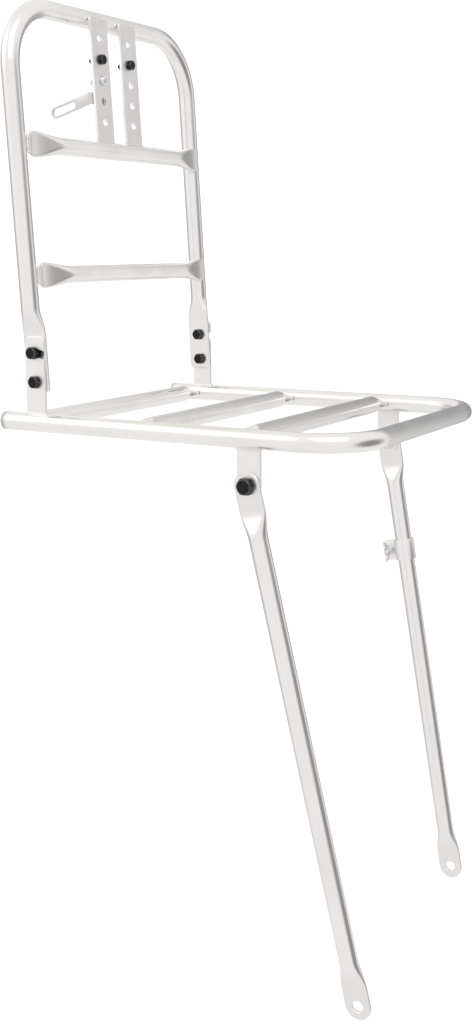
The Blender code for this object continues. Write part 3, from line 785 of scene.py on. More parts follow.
def arc_points(middle: Sequence[float], radius: float, start: float, end: float, count: int = 16) -> Array:
    """Points on an arc from one angle to another, in radians from the first direction."""
    turn = np.linspace(start, end, count)
    return np.array(middle) + radius * abreast(np.cos(turn), np.sin(turn))


def inside(points: Array, loop: Array) -> Array:
    """Which points lie in a closed loop: those from which a ray crosses it an odd number of times.

    Args:
        points: the points.
        loop: the loop's corners.

    Returns:
        True for each point that lies inside.
    """
    first, second = loop, np.roll(loop, -1, axis=0)
    x, y = points[:, :1], points[:, 1:]
    crosses = (first[:, 1] > y) != (second[:, 1] > y)
    rise = np.where(second[:, 1] == first[:, 1], 1e-12, second[:, 1] - first[:, 1])
    at = first[:, 0] + (y - first[:, 1]) / rise * (second[:, 0] - first[:, 0])
    return (crosses & (x < at)).sum(axis=1) % 2 == 1


def inset(loop: Array, distance: float) -> Array:
    """A loop moved to its left, square to the line between each point's neighbours.

    Args:
        loop: the loop's points.
        distance: how far it moves.

    Returns:
        The moved points.
    """
    along = np.roll(loop, -1, axis=0) - np.roll(loop, 1, axis=0)
    along /= np.linalg.norm(along, axis=1)[:, None]
    return loop + distance * abreast(-along[:, 1], along[:, 0])


def plate(edge: Array, holes: Sequence[Array], thickness: float, rounding: float,
          fold: Callable[[Array], Array], fill: Array | None = None) -> list[Patch]:
    """A plate with rounded edges and holes.

    Each edge is a quarter circle carried round its loop: at an angle a the loop is moved into the material
    by the rounding times 1 less the sine of a, and up to half the thickness less the rounding times
    1 less the cosine of a. The faces between the loops are triangulated.

    Args:
        edge: the outer loop, counter-clockwise.
        holes: loops inside it, counter-clockwise too.
        thickness: the plate's thickness.
        rounding: the radius of its edges.
        fold: takes points (first, second, through) to where they are in space.
        fill: more points for the faces, where the plate is bent.

    Returns:
        The patches of one closed shell.
    """
    half = thickness / 2
    turn = np.linspace(0, math.pi / 2, EDGE_STEPS)
    away = np.concatenate([rounding * (1 - np.sin(turn)), rounding * (1 - np.cos(turn))])
    high = np.concatenate([half - rounding * (1 - np.cos(turn)), -half + rounding * (1 - np.sin(turn))])
    # worn marks the rounded edge, whole on the side wall; the plate finishes paint their edge light there:
    # painted highlight on the plates, painted shade on the stay
    worn = np.concatenate([np.sin(turn), np.cos(turn)])
    loops = [edge] + [hole[::-1] for hole in holes]
    patches, rims = [], []
    for loop in loops:
        local = np.stack([abreast(*inset(loop, offset).T, level) for offset, level in zip(away, high)])
        points = fold(local.reshape(-1, 3)).reshape(local.shape)
        patches.append(grid_patch(points, local, worn[:, None]))
        rims.append(local[0, :, :2])
    flat = [Vector(point) for rim in rims for point in rim]
    starts = np.cumsum([0] + [len(rim) for rim in rims])
    sides = [(int(start + index), int(start + (index + 1) % len(rim)))
             for start, rim in zip(starts, rims) for index in range(len(rim))]
    if fill is not None:
        flat += [Vector(point) for point in fill]
    made, _, faces, *_ = delaunay_2d_cdt(flat, sides, [], 0, 1e-9)
    made = np.array([tuple(point) for point in made])
    faces = np.array(faces)
    middle = made[faces].mean(axis=1)
    kept = inside(middle, rims[0])
    for rim in rims[1:]:
        kept &= ~inside(middle, rim)
    faces = faces[kept].tolist()
    for level in (half, -half):
        local = abreast(*made.T, level)
        patches.append(Patch(fold(local), faces, local, np.zeros(len(made)), flat=fill is None))
    return patches


# Shader nodes

MIX_SHARE, MIX_COLOURS, MIX_RESULT = 0, (6, 7), 2  # a colour Mix node's own sockets


class Wire:
    """A node's output that takes part in Python arithmetic: each operator adds one Math node."""

    def __init__(self, sheet: "ShaderSheet", socket: bpy.types.NodeSocket) -> None:
        """Keeps the output and the node tree it belongs to."""
        self.sheet = sheet
        self.socket = socket

    def _math(self, operation: str, first: "Wire | float", second: "Wire | float") -> "Wire":
        """One Math node on two values."""
        return self.sheet.node("ShaderNodeMath", {"operation": operation}, {0: first, 1: second})

    def __add__(self, other: "Wire | float") -> "Wire":
        """This plus the other."""
        return self._math("ADD", self, other)

    def __radd__(self, other: float) -> "Wire":
        """The number plus this."""
        return self._math("ADD", other, self)

    def __sub__(self, other: "Wire | float") -> "Wire":
        """This less the other."""
        return self._math("SUBTRACT", self, other)

    def __rsub__(self, other: float) -> "Wire":
        """The number less this."""
        return self._math("SUBTRACT", other, self)

    def __mul__(self, other: "Wire | float") -> "Wire":
        """This times the other."""
        return self._math("MULTIPLY", self, other)

    def __rmul__(self, other: float) -> "Wire":
        """The number times this."""
        return self._math("MULTIPLY", other, self)

    def __pow__(self, power: float) -> "Wire":
        """This to a power."""
        return self._math("POWER", self, power)

    def clamped(self) -> "Wire":
        """This, kept from 0 to 1."""
        return self.sheet.node("ShaderNodeMath", {"operation": "ADD", "use_clamp": True}, {0: self, 1: 0.0})

    def past(self, start: float, gain: float) -> "Wire":
        """How far this is past a start, times a gain, kept from 0 to 1."""
        return ((self - start) * gain).clamped()


class ShaderSheet:
    """The node tree of one material, with its Principled shader."""

    def __init__(self, name: str) -> None:
        """Makes the material and keeps its tree.

        Args:
            name: the material's name.
        """
        self.material = bpy.data.materials.new(name)
        self.material.use_nodes = True
        self.tree = self.material.node_tree
        self.shader = self.tree.nodes["Principled BSDF"]

    def node(self, kind: str, settings: dict, sockets: dict, output: int | str = 0) -> Wire:
        """Adds a node.

        Args:
            kind: the node's type.
            settings: properties, which are set before the sockets.
            sockets: input name or number to a value or a Wire.
            output: which output to hand back.

        Returns:
            The output as a Wire.
        """
        made = self.tree.nodes.new(kind)
        for key, value in settings.items():
            setattr(made, key, value)
        for key, value in sockets.items():
            self.join(value, made.inputs[key])
        return Wire(self, made.outputs[output])

    def join(self, value: "Wire | float | Sequence[float]", socket: bpy.types.NodeSocket) -> None:
        """Links a Wire to an input, or sets its value.

        Args:
            value: the Wire, number, colour or vector.
            socket: the input.
        """
        if isinstance(value, Wire):
            self.tree.links.new(value.socket, socket)
        elif isinstance(value, tuple) and len(value) == 3 and socket.type == "RGBA":
            socket.default_value = (*value, 1)
        else:
            socket.default_value = value

    def place(self) -> Wire:
        """The point on the piece, in metres."""
        return self.node("ShaderNodeTexCoord", {}, {}, "Object")

    def lay(self) -> Wire:
        """The point on the piece before it was bent, in metres along and across it."""
        return self.node("ShaderNodeAttribute", {"attribute_name": "lay"}, {}, "Vector")

    def wear(self) -> Wire:
        """How worn, pressed or heated the piece is there; on plates and the clip's strap it marks the rounded
        edges, where painted edge light goes.
        """
        return self.node("ShaderNodeAttribute", {"attribute_name": "wear"}, {}, "Fac")

    def noise(self, where: Wire, scale: float | Colour, detail: float = 2.0, rough: float = 0.5) -> Wire:
        """Noise with a mean of about 0.5.

        Args:
            where: the point it is read at.
            scale: cells to the metre, or three such numbers, one for each direction.
            detail: how many finer layers it has.
            rough: how strong those are.

        Returns:
            The noise.
        """
        cells = tuple(np.broadcast_to(scale, 3).tolist())
        stretched = self.node("ShaderNodeVectorMath", {"operation": "MULTIPLY"}, {0: where, 1: cells})
        sockets = {"Vector": stretched, "Scale": 1.0, "Detail": detail, "Roughness": rough}
        return self.node("ShaderNodeTexNoise", {}, sockets, "Fac")

    def blend(self, share: Wire, first: "Wire | Colour", second: "Wire | Colour") -> Wire:
        """A colour between two others, by a share."""
        inputs = {MIX_SHARE: share, MIX_COLOURS[0]: first, MIX_COLOURS[1]: second}
        return self.node("ShaderNodeMix", {"data_type": "RGBA"}, inputs, MIX_RESULT)

    def bump(self, height: Wire, distance: float, strength: float = 1.0) -> Wire:
        """A surface normal tilted by a height in units of distance."""
        return self.node("ShaderNodeBump", {}, {"Height": height, "Distance": distance, "Strength": strength})

    def finish(self, varying: dict, constant: dict) -> bpy.types.Material:
        """Gives the shader its inputs.

        Args:
            varying: input name to what changes over the surface.
            constant: input name to what is the same all over.

        Returns:
            The material.
        """
        for name, value in {**varying, **constant}.items():
            self.join(value, self.shader.inputs[name])
        return self.material

    def metal(self, tint: Wire, rough: Wire, normal: Wire) -> bpy.types.Material:
        """Finishes the material as bare or plated metal."""
        varying = {"Base Color": tint, "Roughness": rough.clamped(), "Normal": normal}
        return self.finish(varying, {"Metallic": 1.0})


# Finishes

@dataclass(frozen=True)
class Coat:
    """What every finish has: its material's name, its main colour and its mean roughness."""

    name: str
    colour: Colour
    roughness: float


@dataclass(frozen=True)
class PlatedTube(Coat):
    """Bright plated drawn tube: fine lines along it, cloudy plating, pinholes, and duller pressed ends."""

    cloud: Colour
    dull: Colour
    lines: float

    def build(self) -> bpy.types.Material:
        """Makes the material.

        Returns:
            The material.
        """
        sheet = ShaderSheet(self.name)
        lay, place = sheet.lay(), sheet.place()
        wear = sheet.wear()
        lines = sheet.noise(lay, (14, 1500, 1500), 3.0, 0.6)
        cloud = sheet.noise(place, 24, 4.0, 0.55)
        patch = sheet.noise(place, (95, 95, 70), 3.0)
        pits = sheet.noise(lay, 900, 1.0).past(0.71, 6.0)
        murk = cloud.past(0.42, 2.6)
        tint = sheet.blend(murk * 0.75, self.colour, self.cloud)
        tint = sheet.blend((wear * (0.25 + 0.6 * patch) + pits * 0.5).clamped(), tint, self.dull)
        rough = self.roughness + self.lines * (lines - 0.5) + 0.10 * murk + 0.12 * wear + 0.2 * pits
        return sheet.metal(tint, rough, sheet.bump(lines * 0.4 + cloud * 1.6 - pits, 0.05 * MM, 0.6))


@dataclass(frozen=True)
class RolledPlate(Coat):
    """Plated strip steel: rolling marks, a soft mottle, and painted light on its rounded edges: the edge
    colour is a painted highlight on the plates and painted shade on the stay.
    """

    mottle: Colour
    # painted edge light: the colour mixed over the rounded edges, a painted highlight where it is lighter
    # than the plate, painted shade where it is darker
    edge: Colour

    def build(self) -> bpy.types.Material:
        """Makes the material.

        Returns:
            The material.
        """
        sheet = ShaderSheet(self.name)
        lay, place = sheet.lay(), sheet.place()
        rolled = sheet.noise(lay, (1300, 45, 600), 3.0, 0.6)
        mottle = sheet.noise(place, 60, 4.0, 0.6)
        scuffs = sheet.noise(lay, (240, 700, 400)).past(0.62, 5.0)
        # painted edge light: how much of the edge colour goes on, high on the rounded edges where the wear
        # attribute is
        edge = (sheet.wear() * (0.4 + mottle)).clamped()
        tint = sheet.blend(mottle.past(0.4, 2.5) * 0.8, self.colour, self.mottle)
        tint = sheet.blend(edge, tint, self.edge)
        rough = self.roughness + 0.14 * (rolled - 0.5) + 0.10 * mottle - 0.10 * edge + 0.12 * scuffs
        height = rolled * 0.6 + mottle * 1.5 - scuffs * 0.5
        return sheet.metal(tint, rough, sheet.bump(height, 0.05 * MM, 0.6))


@dataclass(frozen=True)
class ZincFastener(Coat):
    """Zinc-plated turned steel: rings from the lathe and a faint blue and straw mottle."""

    blue: Colour
    straw: Colour

    def build(self) -> bpy.types.Material:
        """Makes the material.

        Returns:
            The material.
        """
        sheet = ShaderSheet(self.name)
        place = sheet.place()
        bloom = sheet.noise(place, 420, 3.0)
        warm = sheet.noise(place, 170)
        grain = sheet.noise(sheet.lay(), (900, 900, 2600))
        tint = sheet.blend(bloom.past(0.45, 3.0) * 0.6, self.colour, self.blue)
        tint = sheet.blend(warm.past(0.5, 3.0) * 0.5, tint, self.straw)
        rough = self.roughness + 0.16 * (grain - 0.5) + 0.12 * (bloom - 0.5) - 0.06 * sheet.wear()
        return sheet.metal(tint, rough, sheet.bump(grain, 0.03 * MM, 0.6))


@dataclass(frozen=True)
class BlackOxide(Coat):
    """Black oxide on steel: nearly black, oily in places, rubbed to grey steel on its corners."""

    oily: Colour
    rubbed: Colour

    def build(self) -> bpy.types.Material:
        """Makes the material.

        Returns:
            The material.
        """
        sheet = ShaderSheet(self.name)
        place = sheet.place()
        film = sheet.noise(place, 380, 3.0)
        grit = sheet.noise(place, 2600)
        rub = (sheet.wear() * (0.35 + film)).past(0.42, 3.0)
        tint = sheet.blend(film.past(0.45, 3.0), self.colour, self.oily)
        tint = sheet.blend(rub * 0.7, tint, self.rubbed)
        rough = self.roughness + 0.2 * (film - 0.5) + 0.12 * (grit - 0.5) - 0.08 * rub
        return sheet.finish(
            {"Base Color": tint, "Roughness": rough.clamped(), "Metallic": 0.35 + 0.6 * rub,
             "Normal": sheet.bump(grit, 0.03 * MM, 0.5)}, {"Specular IOR Level": 0.25})


@dataclass(frozen=True)
class WeldMetal(Coat):
    """Plated weld bead: duller in the dips between its drops, with a little heat colour."""

    dip: Colour
    heat: Colour

    def build(self) -> bpy.types.Material:
        """Makes the material.

        Returns:
            The material.
        """
        sheet = ShaderSheet(self.name)
        place = sheet.place()
        grain = sheet.noise(place, 1500, 3.0)
        heat = sheet.noise(place, 160)
        drop = sheet.wear()
        tint = sheet.blend((drop * 0.5 + (grain - 0.5)).clamped(), self.colour, self.dip)
        tint = sheet.blend(heat.past(0.5, 2.5) * 0.5, tint, self.heat)
        rough = self.roughness + 0.25 * (grain - 0.5) + 0.1 * drop
        return sheet.metal(tint, rough, sheet.bump(grain, 0.12 * MM, 0.7))


@dataclass(frozen=True)
class MouldedPlastic(Coat):
    """Moulded plastic: a fine spark grain, slightly polished on its rim."""

    dusty: Colour

    def build(self) -> bpy.types.Material:
        """Makes the material.

        Returns:
            The material.
        """
        sheet = ShaderSheet(self.name)
        place = sheet.place()
        grain = sheet.noise(place, 2400)
        dust = sheet.noise(place, 300, 3.0)
        tint = sheet.blend(dust.past(0.4, 2.5), self.colour, self.dusty)
        rough = self.roughness + 0.15 * (grain - 0.5) - 0.15 * sheet.wear()
        normal = sheet.bump(grain, 0.06 * MM, 0.6)
        return sheet.finish({"Base Color": tint, "Roughness": rough.clamped(), "Normal": normal}, {})


class Finish(Enum):
    """The finishes of the rack; the value is the record's material slot, save for WELD and SHEET."""

    TUBE = "tube"
    PLATE = "plate"
    ZINC = "zinc"
    BLACK = "black_bolt"
    PLUG = "plug"
    WELD = "weld"
    SHEET = "sheet"


def build_finishes() -> dict[Finish, bpy.types.Material]:
    """Makes one material of each finish.

    Returns:
        Finish to material.
    """
    styles = {
        Finish.TUBE: PlatedTube("plated_tube", colour=(0.93, 0.90, 0.875), cloud=(0.89, 0.85, 0.82),
                                dull=(0.83, 0.79, 0.76), roughness=0.20, lines=0.14),
        # the edge colours are painted light: a painted highlight on the plates' rounded edges, painted shade
        # on the stay's rounded edges
        Finish.PLATE: RolledPlate("rolled_plate", colour=(0.93, 0.90, 0.88), mottle=(0.87, 0.83, 0.80),
                                  edge=(0.96, 0.94, 0.93), roughness=0.34),
        Finish.SHEET: RolledPlate("rolled_sheet", colour=(0.74, 0.72, 0.71), mottle=(0.66, 0.64, 0.62),
                                  edge=(0.55, 0.53, 0.52), roughness=0.36),
        Finish.ZINC: ZincFastener("zinc_fastener", colour=(0.82, 0.83, 0.84), blue=(0.72, 0.76, 0.82),
                                  straw=(0.86, 0.82, 0.72), roughness=0.30),
        Finish.BLACK: BlackOxide("black_oxide", colour=(0.008, 0.008, 0.009), oily=(0.018, 0.018, 0.02),
                                 rubbed=(0.16, 0.16, 0.165), roughness=0.40),
        Finish.PLUG: MouldedPlastic("plug_plastic", colour=(0.62, 0.62, 0.61), dusty=(0.52, 0.52, 0.50),
                                    roughness=0.50),
        Finish.WELD: WeldMetal("weld_metal", colour=(0.92, 0.90, 0.88), dip=(0.84, 0.81, 0.79),
                               heat=(0.88, 0.85, 0.82), roughness=0.30),
    }
    return {finish: style.build() for finish, style in styles.items()}


@dataclass
class Bench:
    """Where pieces are finished: it dresses each one, sets it on its body, and keeps count."""

    materials: dict[Finish, bpy.types.Material]
    made: int = 0

    def add(self, name: str, patches: Sequence[Patch], finish: Finish, body: str,
            stands_for: Sequence[str] = (), edge: Edge = Edge.SOFT) -> bpy.types.Object:
        """Makes a piece, gives it its finish and sets it on a body.

        Args:
            name: the piece's name.
            patches: its surfaces.
            finish: what it is dressed with.
            body: the body that it rides on.
            stands_for: the plain nodes that it replaces.
            edge: how its shading breaks.

        Returns:
            The piece.
        """
        piece = make_mesh(name, patches, edge)
        piece.data.materials.append(self.materials[finish])
        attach(piece, body)
        if stands_for:
            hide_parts(*stands_for)
        self.made += 1
        log.info("%s: %d faces, on %s", name, len(piece.data.polygons), body)
        return piece

    def stand_in(self, node: str, patches: Sequence[Patch], finish: Finish, edge: Edge = Edge.SOFT,
                 ) -> bpy.types.Object:
        """Makes the piece that replaces one node, on that node's own body.

        Args:
            node: the node's name.
            patches: the piece's surfaces.
            finish: what it is dressed with.
            edge: how its shading breaks.

        Returns:
            The piece.
        """
        return self.add(f"{node}_made", patches, finish, layout.nodes[node]["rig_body"], [node], edge)


# Fasteners

@dataclass(frozen=True)
class ThreadSize:
    """The sizes of one thread and of the heads and nuts that go with it."""

    radius: float
    flats: float
    head: float
    pitch: float

    @property
    def apothem(self) -> float:
        """Half the width across flats."""
        return self.flats / 2


class Thread(Enum):
    """The threads on the rack."""

    M5 = ThreadSize(2.5 * MM, 8 * MM, 3.5 * MM, 0.8 * MM)
    M6 = ThreadSize(3 * MM, 10 * MM, 4 * MM, 1.0 * MM)
    M8 = ThreadSize(4 * MM, 13 * MM, 5.3 * MM, 1.25 * MM)


def stand(node: str, direction: Array) -> tuple[Axes, float]:
    """Where a turned node stands.

    Args:
        node: the node's name.
        direction: the way that it points.

    Returns:
        Axes on its centre line, starting at its low end, and its length.
    """
    axes = axes_along(np.zeros(3), np.asarray(direction, float))
    local = axes.into(layout.points(node))
    low, high = local.min(axis=0), local.max(axis=0)
    middle = (low + high) / 2
    seat = axes.out(np.array([middle[0], middle[1], low[2]]))
    return Axes(seat, axes.rows), float(high[2] - low[2])


def cone(height: float, start: float, end: float, depth: float) -> Array:
    """Rows of a chamfer, whose radius runs evenly from a start to an end.

    Args:
        height: where it begins.
        start: the radius there.
        end: the radius at its other end.
        depth: how far it reaches.

    Returns:
        Rows of (height, radius).
    """
    share = np.linspace(0, 1, CONE_ROWS)
    return abreast(height + depth * share, start + (end - start) * share)


@dataclass
class Fasteners:
    """Bolts, nuts, washers and screws."""

    bench: Bench
    crown: float = 0.9  # share of the apothem where a hexagon's chamfer starts
    chamfer: float = 0.26  # depth of that chamfer over the apothem
    corner: float = 1.16  # over the apothem, just past the hexagon's corners
    groove: float = 1.1 * MM  # width of a screw's slot

    @staticmethod
    def shank(size: ThreadSize, start: float, length: float, tail: float) -> Array:
        """Rows of a bolt from under its head to its chamfered end, close together along the thread.

        Args:
            size: the thread's size.
            start: the height where the thread starts.
            length: the height of the end.
            tail: the end's chamfer over the radius.

        Returns:
            Rows of (height, radius).
        """
        thread = np.arange(start, length - tail * size.radius, size.pitch / THREAD_ROWS)
        return np.concatenate([
            [(size.head, size.radius), (start - 0.2 * MM, size.radius)], abreast(thread, size.radius),
            [(length, 0.78 * size.radius), (length, 0.0)]])

    def bolt(self, node: str, size: ThreadSize, direction: Array, thread_length: float) -> None:
        """A hex bolt with a chamfered, slightly dished head, threaded for the last part of its shank.

        Args:
            node: the node it stands for.
            size: its thread.
            direction: the way that it points.
            thread_length: how long its thread is.
        """
        axes, length = stand(node, direction)
        half, deep = size.apothem, self.chamfer * size.apothem
        start = length - thread_length
        dish = [(0.25 * MM, 0.0), (0.1 * MM, 0.35 * half), (0.0, 0.75 * half)]
        rows = np.concatenate([
            dish, cone(0.02 * MM, self.crown * half, self.corner * half, deep),
            [(size.head - 0.15 * MM, self.corner * half), (size.head, 0.97 * half)],
            self.shank(size, start, length, 0.21)])
        worn = np.zeros(len(rows))
        worn[len(dish):len(dish) + CONE_ROWS] = np.linspace(0.9, 0.4, CONE_ROWS)
        patch = turned(rows, axes, half, worn, size.pitch, start, length)
        self.bench.stand_in(node, [patch], Finish.BLACK, Edge.CRISP)

    def nut(self, node: str, size: ThreadSize, direction: Array) -> None:
        """A self-locking nut: a hexagon with both ends chamfered, and a rolled collar.

        Args:
            node: the node it stands for.
            size: its thread.
            direction: the way that its collar points.
        """
        axes, length = stand(node, direction)
        half, deep, bore = size.apothem, self.chamfer * size.apothem, size.radius + 0.25 * MM
        shoulder, collar = 0.7 * length, half - 0.8 * MM
        rows = np.concatenate([
            [(0.5 * MM, bore), (0.0, bore + 0.5 * MM)],
            cone(0.0, self.crown * half, self.corner * half, deep),
            cone(shoulder - deep, self.corner * half, self.crown * half, deep),
            [(shoulder, collar), (length - 0.8 * MM, collar), (length - 0.25 * MM, collar - 0.2 * MM),
             (length, collar - 0.7 * MM), (length - 0.1 * MM, bore + 0.35 * MM),
             (length - 0.7 * MM, bore + 0.1 * MM), (length - 1.0 * MM, bore)]])
        worn = np.zeros(len(rows))
        worn[2:2 + 2 * CONE_ROWS] = 0.6
        self.bench.stand_in(node, [turned_ring(rows, axes, half, worn)], Finish.ZINC, Edge.CRISP)

    def washer(self, node: str, direction: Array, bore: float) -> None:
        """A flat washer, with the rounded edge of its punched side.

        Args:
            node: the node it stands for.
            direction: the way that its punched side faces.
            bore: the radius of its hole.
        """
        axes, length = stand(node, direction)
        low, high = layout.span(node, axes.rows[0])
        outer = (high - low) / 2
        rows, worn = rounded_profile([
            (0.1 * MM, bore, 0), (0.0, bore + 0.1 * MM, 0), (0.0, outer, 0.25 * MM),
            (length, outer, 0.35 * MM), (length, bore + 0.1 * MM, 0), (length - 0.1 * MM, bore, 0)])
        self.bench.stand_in(node, [turned_ring(rows, axes, 0.0, worn)], Finish.ZINC, Edge.CRISP)

    def screw(self, node: str, size: ThreadSize, direction: Array, thread_length: float) -> None:
        """A round-headed screw with a driver's slot.

        The head is a dome: at an angle from its rim its height is the head's times 1 less the sine, and its
        radius is half the width times the cosine.

        Args:
            node: the node it stands for.
            size: its thread.
            direction: the way that it points.
            thread_length: how long its thread is.
        """
        axes, length = stand(node, direction)
        turn = np.linspace(math.pi / 2, 0.0, 12)
        dome = abreast(size.head * (1 - np.sin(turn)), size.apothem * np.cos(turn))
        start = length - thread_length
        rows = np.concatenate([dome, self.shank(size, start, length, 0.3)])
        patch = turned(rows, axes, 0.0, None, size.pitch, start, length)
        piece = self.bench.stand_in(node, [patch], Finish.ZINC, Edge.CRISP)
        half, reach = self.groove / 2, 1.2 * size.apothem
        slot = [(-half, -reach, 0), (half, -reach, 0), (half, reach, 0), (-half, reach, 0)]
        depth = 0.4 * size.head
        cut(piece, plate(outline(slot), [], 2 * depth, 0.05 * MM, axes.out))
        piece.data.set_sharp_from_angle(angle=SHARP_ANGLE)

    def fastening(self, name: str, size: ThreadSize, direction: Array, thread_length: float) -> None:
        """A bolt with its washer and its nut.

        Args:
            name: what their nodes' names start with.
            size: their thread.
            direction: the way that the bolt points.
            thread_length: how long the bolt's thread is.
        """
        self.bolt(f"{name}_bolt", size, direction, thread_length)
        self.washer(f"{name}_washer", direction, size.radius + 0.3 * MM)
        self.nut(f"{name}_nut", size, direction)

    def build(self) -> None:
        """Makes every fastening of the deck and the back frame."""
        rear = layout.back.rows[1]
        for side in Side:
            for place in ("pivot", "lock"):
                self.fastening(f"{place}_{side.word}", Thread.M6.value, X_AXIS, 12 * MM)
            self.fastening(f"leg_{side.word}", Thread.M8.value, -side.value * X_AXIS, 14 * MM)
            self.fastening(f"strip_{side.word}", Thread.M5.value, rear, 9 * MM)
        self.screw("stay_screw", Thread.M5.value, rear, 9 * MM)
        self.nut("stay_nut", Thread.M5.value, rear)


# Deck

def stadium_loop(half_straight: float, radius: float) -> Array:
    """A stadium: two straight sides joined by half circles.

    Args:
        half_straight: half a straight side.
        radius: of the half circles.

    Returns:
        Points round it, counter-clockwise.
    """
    turn = np.linspace(-math.pi / 2, math.pi / 2, 14)
    right = abreast(half_straight + radius * np.cos(turn), radius * np.sin(turn))
    return np.concatenate([right, -right])


@dataclass
class Deck:
    """The U of tube with its slats, tabs, plugs and welds."""

    bench: Bench
    corner: float = 50 * MM
    wall: float = 1.5 * MM
    lip: float = 0.35 * MM
    socket: float = 12.6 * MM  # how deep the rails' rear ends are open
    slat_press: Press = Press(3 * MM, 12 * MM, 3 * MM)
    tab_rounding: float = 0.4 * MM
    tab_corner: float = 5 * MM
    tab_foot: float = 0.6 * MM  # rounding of the corners at the weld
    slot_lip: float = 0.5 * MM  # rounding of the open slot's mouth
    lock_rise: float = 25 * MM
    notch_half: float = 3.37 * MM
    tab_bore: float = 3.3 * MM
    leg_bore: float = 4.3 * MM
    slat_bead: float = 0.85 * MM
    tab_bead: float = 0.95 * MM
    slats: tuple[str, ...] = ("slat_rear", "slat_middle", "slat_front")

    def welds(self) -> Array:
        """Finds the welds on the U of tube.

        Returns:
            The middle of each.
        """
        found = []
        for side in Side:
            x = side.value * layout.rail_x
            inner = x - side.value * layout.tube
            found += [(inner, layout.middle(slat)[1], layout.deck_z) for slat in self.slats]
            found.append((x, layout.middle(f"hinge_tab_{side.word}")[1], layout.deck_z + layout.tube))
            found.append((x, layout.middle(f"leg_tab_{side.word}")[1], layout.deck_z - layout.tube))
        return np.array(found)

    def hoop_line(self) -> Array:
        """The centre line of the U.

        Returns:
            Points from the left rear end round the front to the right rear end.
        """
        x, rear = layout.rail_x, layout.rear_y
        corner_x, corner_y = x - self.corner, layout.front_y + self.corner
        z = layout.deck_z
        left = quarter_bend(np.array([-corner_x, corner_y, z]), self.corner, -X_AXIS, -Y_AXIS)
        right = quarter_bend(np.array([corner_x, corner_y, z]), self.corner, -Y_AXIS, X_AXIS)
        ends = np.array([[-x, rear, z], [x, rear, z]])
        return np.concatenate([
            ends[:1], straight_run(ends[0], left[0]), left, straight_run(left[-1], right[0]), right,
            straight_run(right[-1], ends[1]), ends[1:]])

    def build_hoop(self) -> None:
        """The U of tube, with a rounded lip and an open socket at each rear end."""
        line = self.hoop_line()
        radius, bore = layout.tube, layout.tube - self.wall
        mouth = np.array([(self.socket, 0.0), (self.socket, bore), (self.lip, bore), (0, bore + self.lip),
                          (0, radius - self.lip), (self.lip, radius)])
        inner = line[1:-1]
        start, end = line[0] - Y_AXIS * mouth[:, :1], line[-1] - Y_AXIS * mouth[::-1, :1]
        path = np.concatenate([start, inner, end])
        radii = np.concatenate([mouth[:, 1], np.full(len(inner), radius), mouth[::-1, 1]])
        tangent = np.concatenate([np.tile(-Y_AXIS, (len(mouth), 1)), directions(line)[1:-1],
                                  np.tile(Y_AXIS, (len(mouth), 1))])
        section = girth_section(radii, np.zeros_like(radii), ROUND_COLUMNS)
        patch = swept(path, tangent, Z_AXIS, section, radius, np.zeros(len(path)))
        self.bench.stand_in("deck_hoop", [heated(patch, self.welds())], Finish.TUBE)

    def build_slats(self) -> None:
        """The three slats, pressed flat and level at both ends."""
        for slat in self.slats:
            low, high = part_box(slat)
            start = np.array([low.x, (low.y + high.y) / 2, layout.deck_z])
            ends = (self.slat_press, self.slat_press)
            patch = pressed_tube(start, X_AXIS, Y_AXIS, high.x - low.x, layout.bar, ends)
            self.bench.stand_in(slat, [heated(patch, self.welds())], Finish.TUBE)

    def hinge_tab_edge(self, foot: float, top: float, half: float) -> Array:
        """A hinge tab's outline, with the lock bolt's open slot as two arcs round the pivot.

        Args:
            foot: the height of its lower edge.
            top: the height of its upper edge.
            half: half its width.

        Returns:
            The outline about the pivot.
        """
        lean = math.atan2(layout.back.rows[2][1], layout.back.rows[2][2])
        seat = math.pi / 2 - lean
        outer, inner = self.lock_rise + self.notch_half, self.lock_rise - self.notch_half
        leave_outer = math.pi / 2 + math.asin(half / outer)
        leave_inner = math.pi / 2 + math.asin(half / inner)
        middle = self.lock_rise * np.array([math.cos(seat), math.sin(seat)])
        upper = arc_points((0, 0), outer, leave_outer, seat)[1:]
        round_end = arc_points(middle, self.notch_half, seat, seat - math.pi, 18)[1:-1]
        lower = arc_points((0, 0), inner, seat, leave_inner)[:-1]
        dense = [(a, b, 0.0) for a, b in np.concatenate([upper, round_end, lower])]
        return outline([
            (half, foot, self.tab_foot), (half, top, self.tab_corner), (-half, top, self.tab_corner),
            (-half, outer * math.sin(leave_outer), self.slot_lip), *dense,
            (-half, inner * math.sin(leave_inner), self.slot_lip), (-half, foot, self.tab_foot)])

    def leg_tab_edge(self, foot: float, top: float, half: float) -> Array:
        """A leg tab's outline, which is round below the pivot.

        Args:
            foot: the height of its lower edge, which the round end reaches by itself.
            top: the height of its upper edge.
            half: half its width.

        Returns:
            The outline about the pivot.
        """
        bottom = [(a, b, 0.0) for a, b in arc_points((0, 0), half, math.pi, math.tau, 30)]
        return outline([(half, top, self.tab_foot), (-half, top, self.tab_foot), *bottom])

    def build_tab(self, node: str, joint: str, shape: Callable[[float, float, float], Array],
                  bore: float) -> None:
        """A tab with a bolt hole on its joint's axis.

        Args:
            node: the node it stands for.
            joint: the joint that it holds.
            shape: makes its outline from its foot, its top and half its width.
            bore: the hole's radius.
        """
        low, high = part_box(node)
        _, y, z = layout.joint_place(joint)
        axes = Axes(np.array([(low.x + high.x) / 2, y, z]), np.array([Y_AXIS, Z_AXIS, X_AXIS]))
        edge = shape(low.z - z, high.z - z, (high.y - low.y) / 2)
        patches = plate(edge, [circle((0, 0), bore)], high.x - low.x, self.tab_rounding, axes.out)
        self.bench.stand_in(node, patches, Finish.PLATE)

    def build_tabs(self) -> None:
        """The hinge tabs on the rails and the leg tabs under them."""
        for side in Side:
            self.build_tab(f"hinge_tab_{side.word}", "back_fold", self.hinge_tab_edge, self.tab_bore)
            self.build_tab(f"leg_tab_{side.word}", f"leg_{side.word}_fold", self.leg_tab_edge, self.leg_bore)

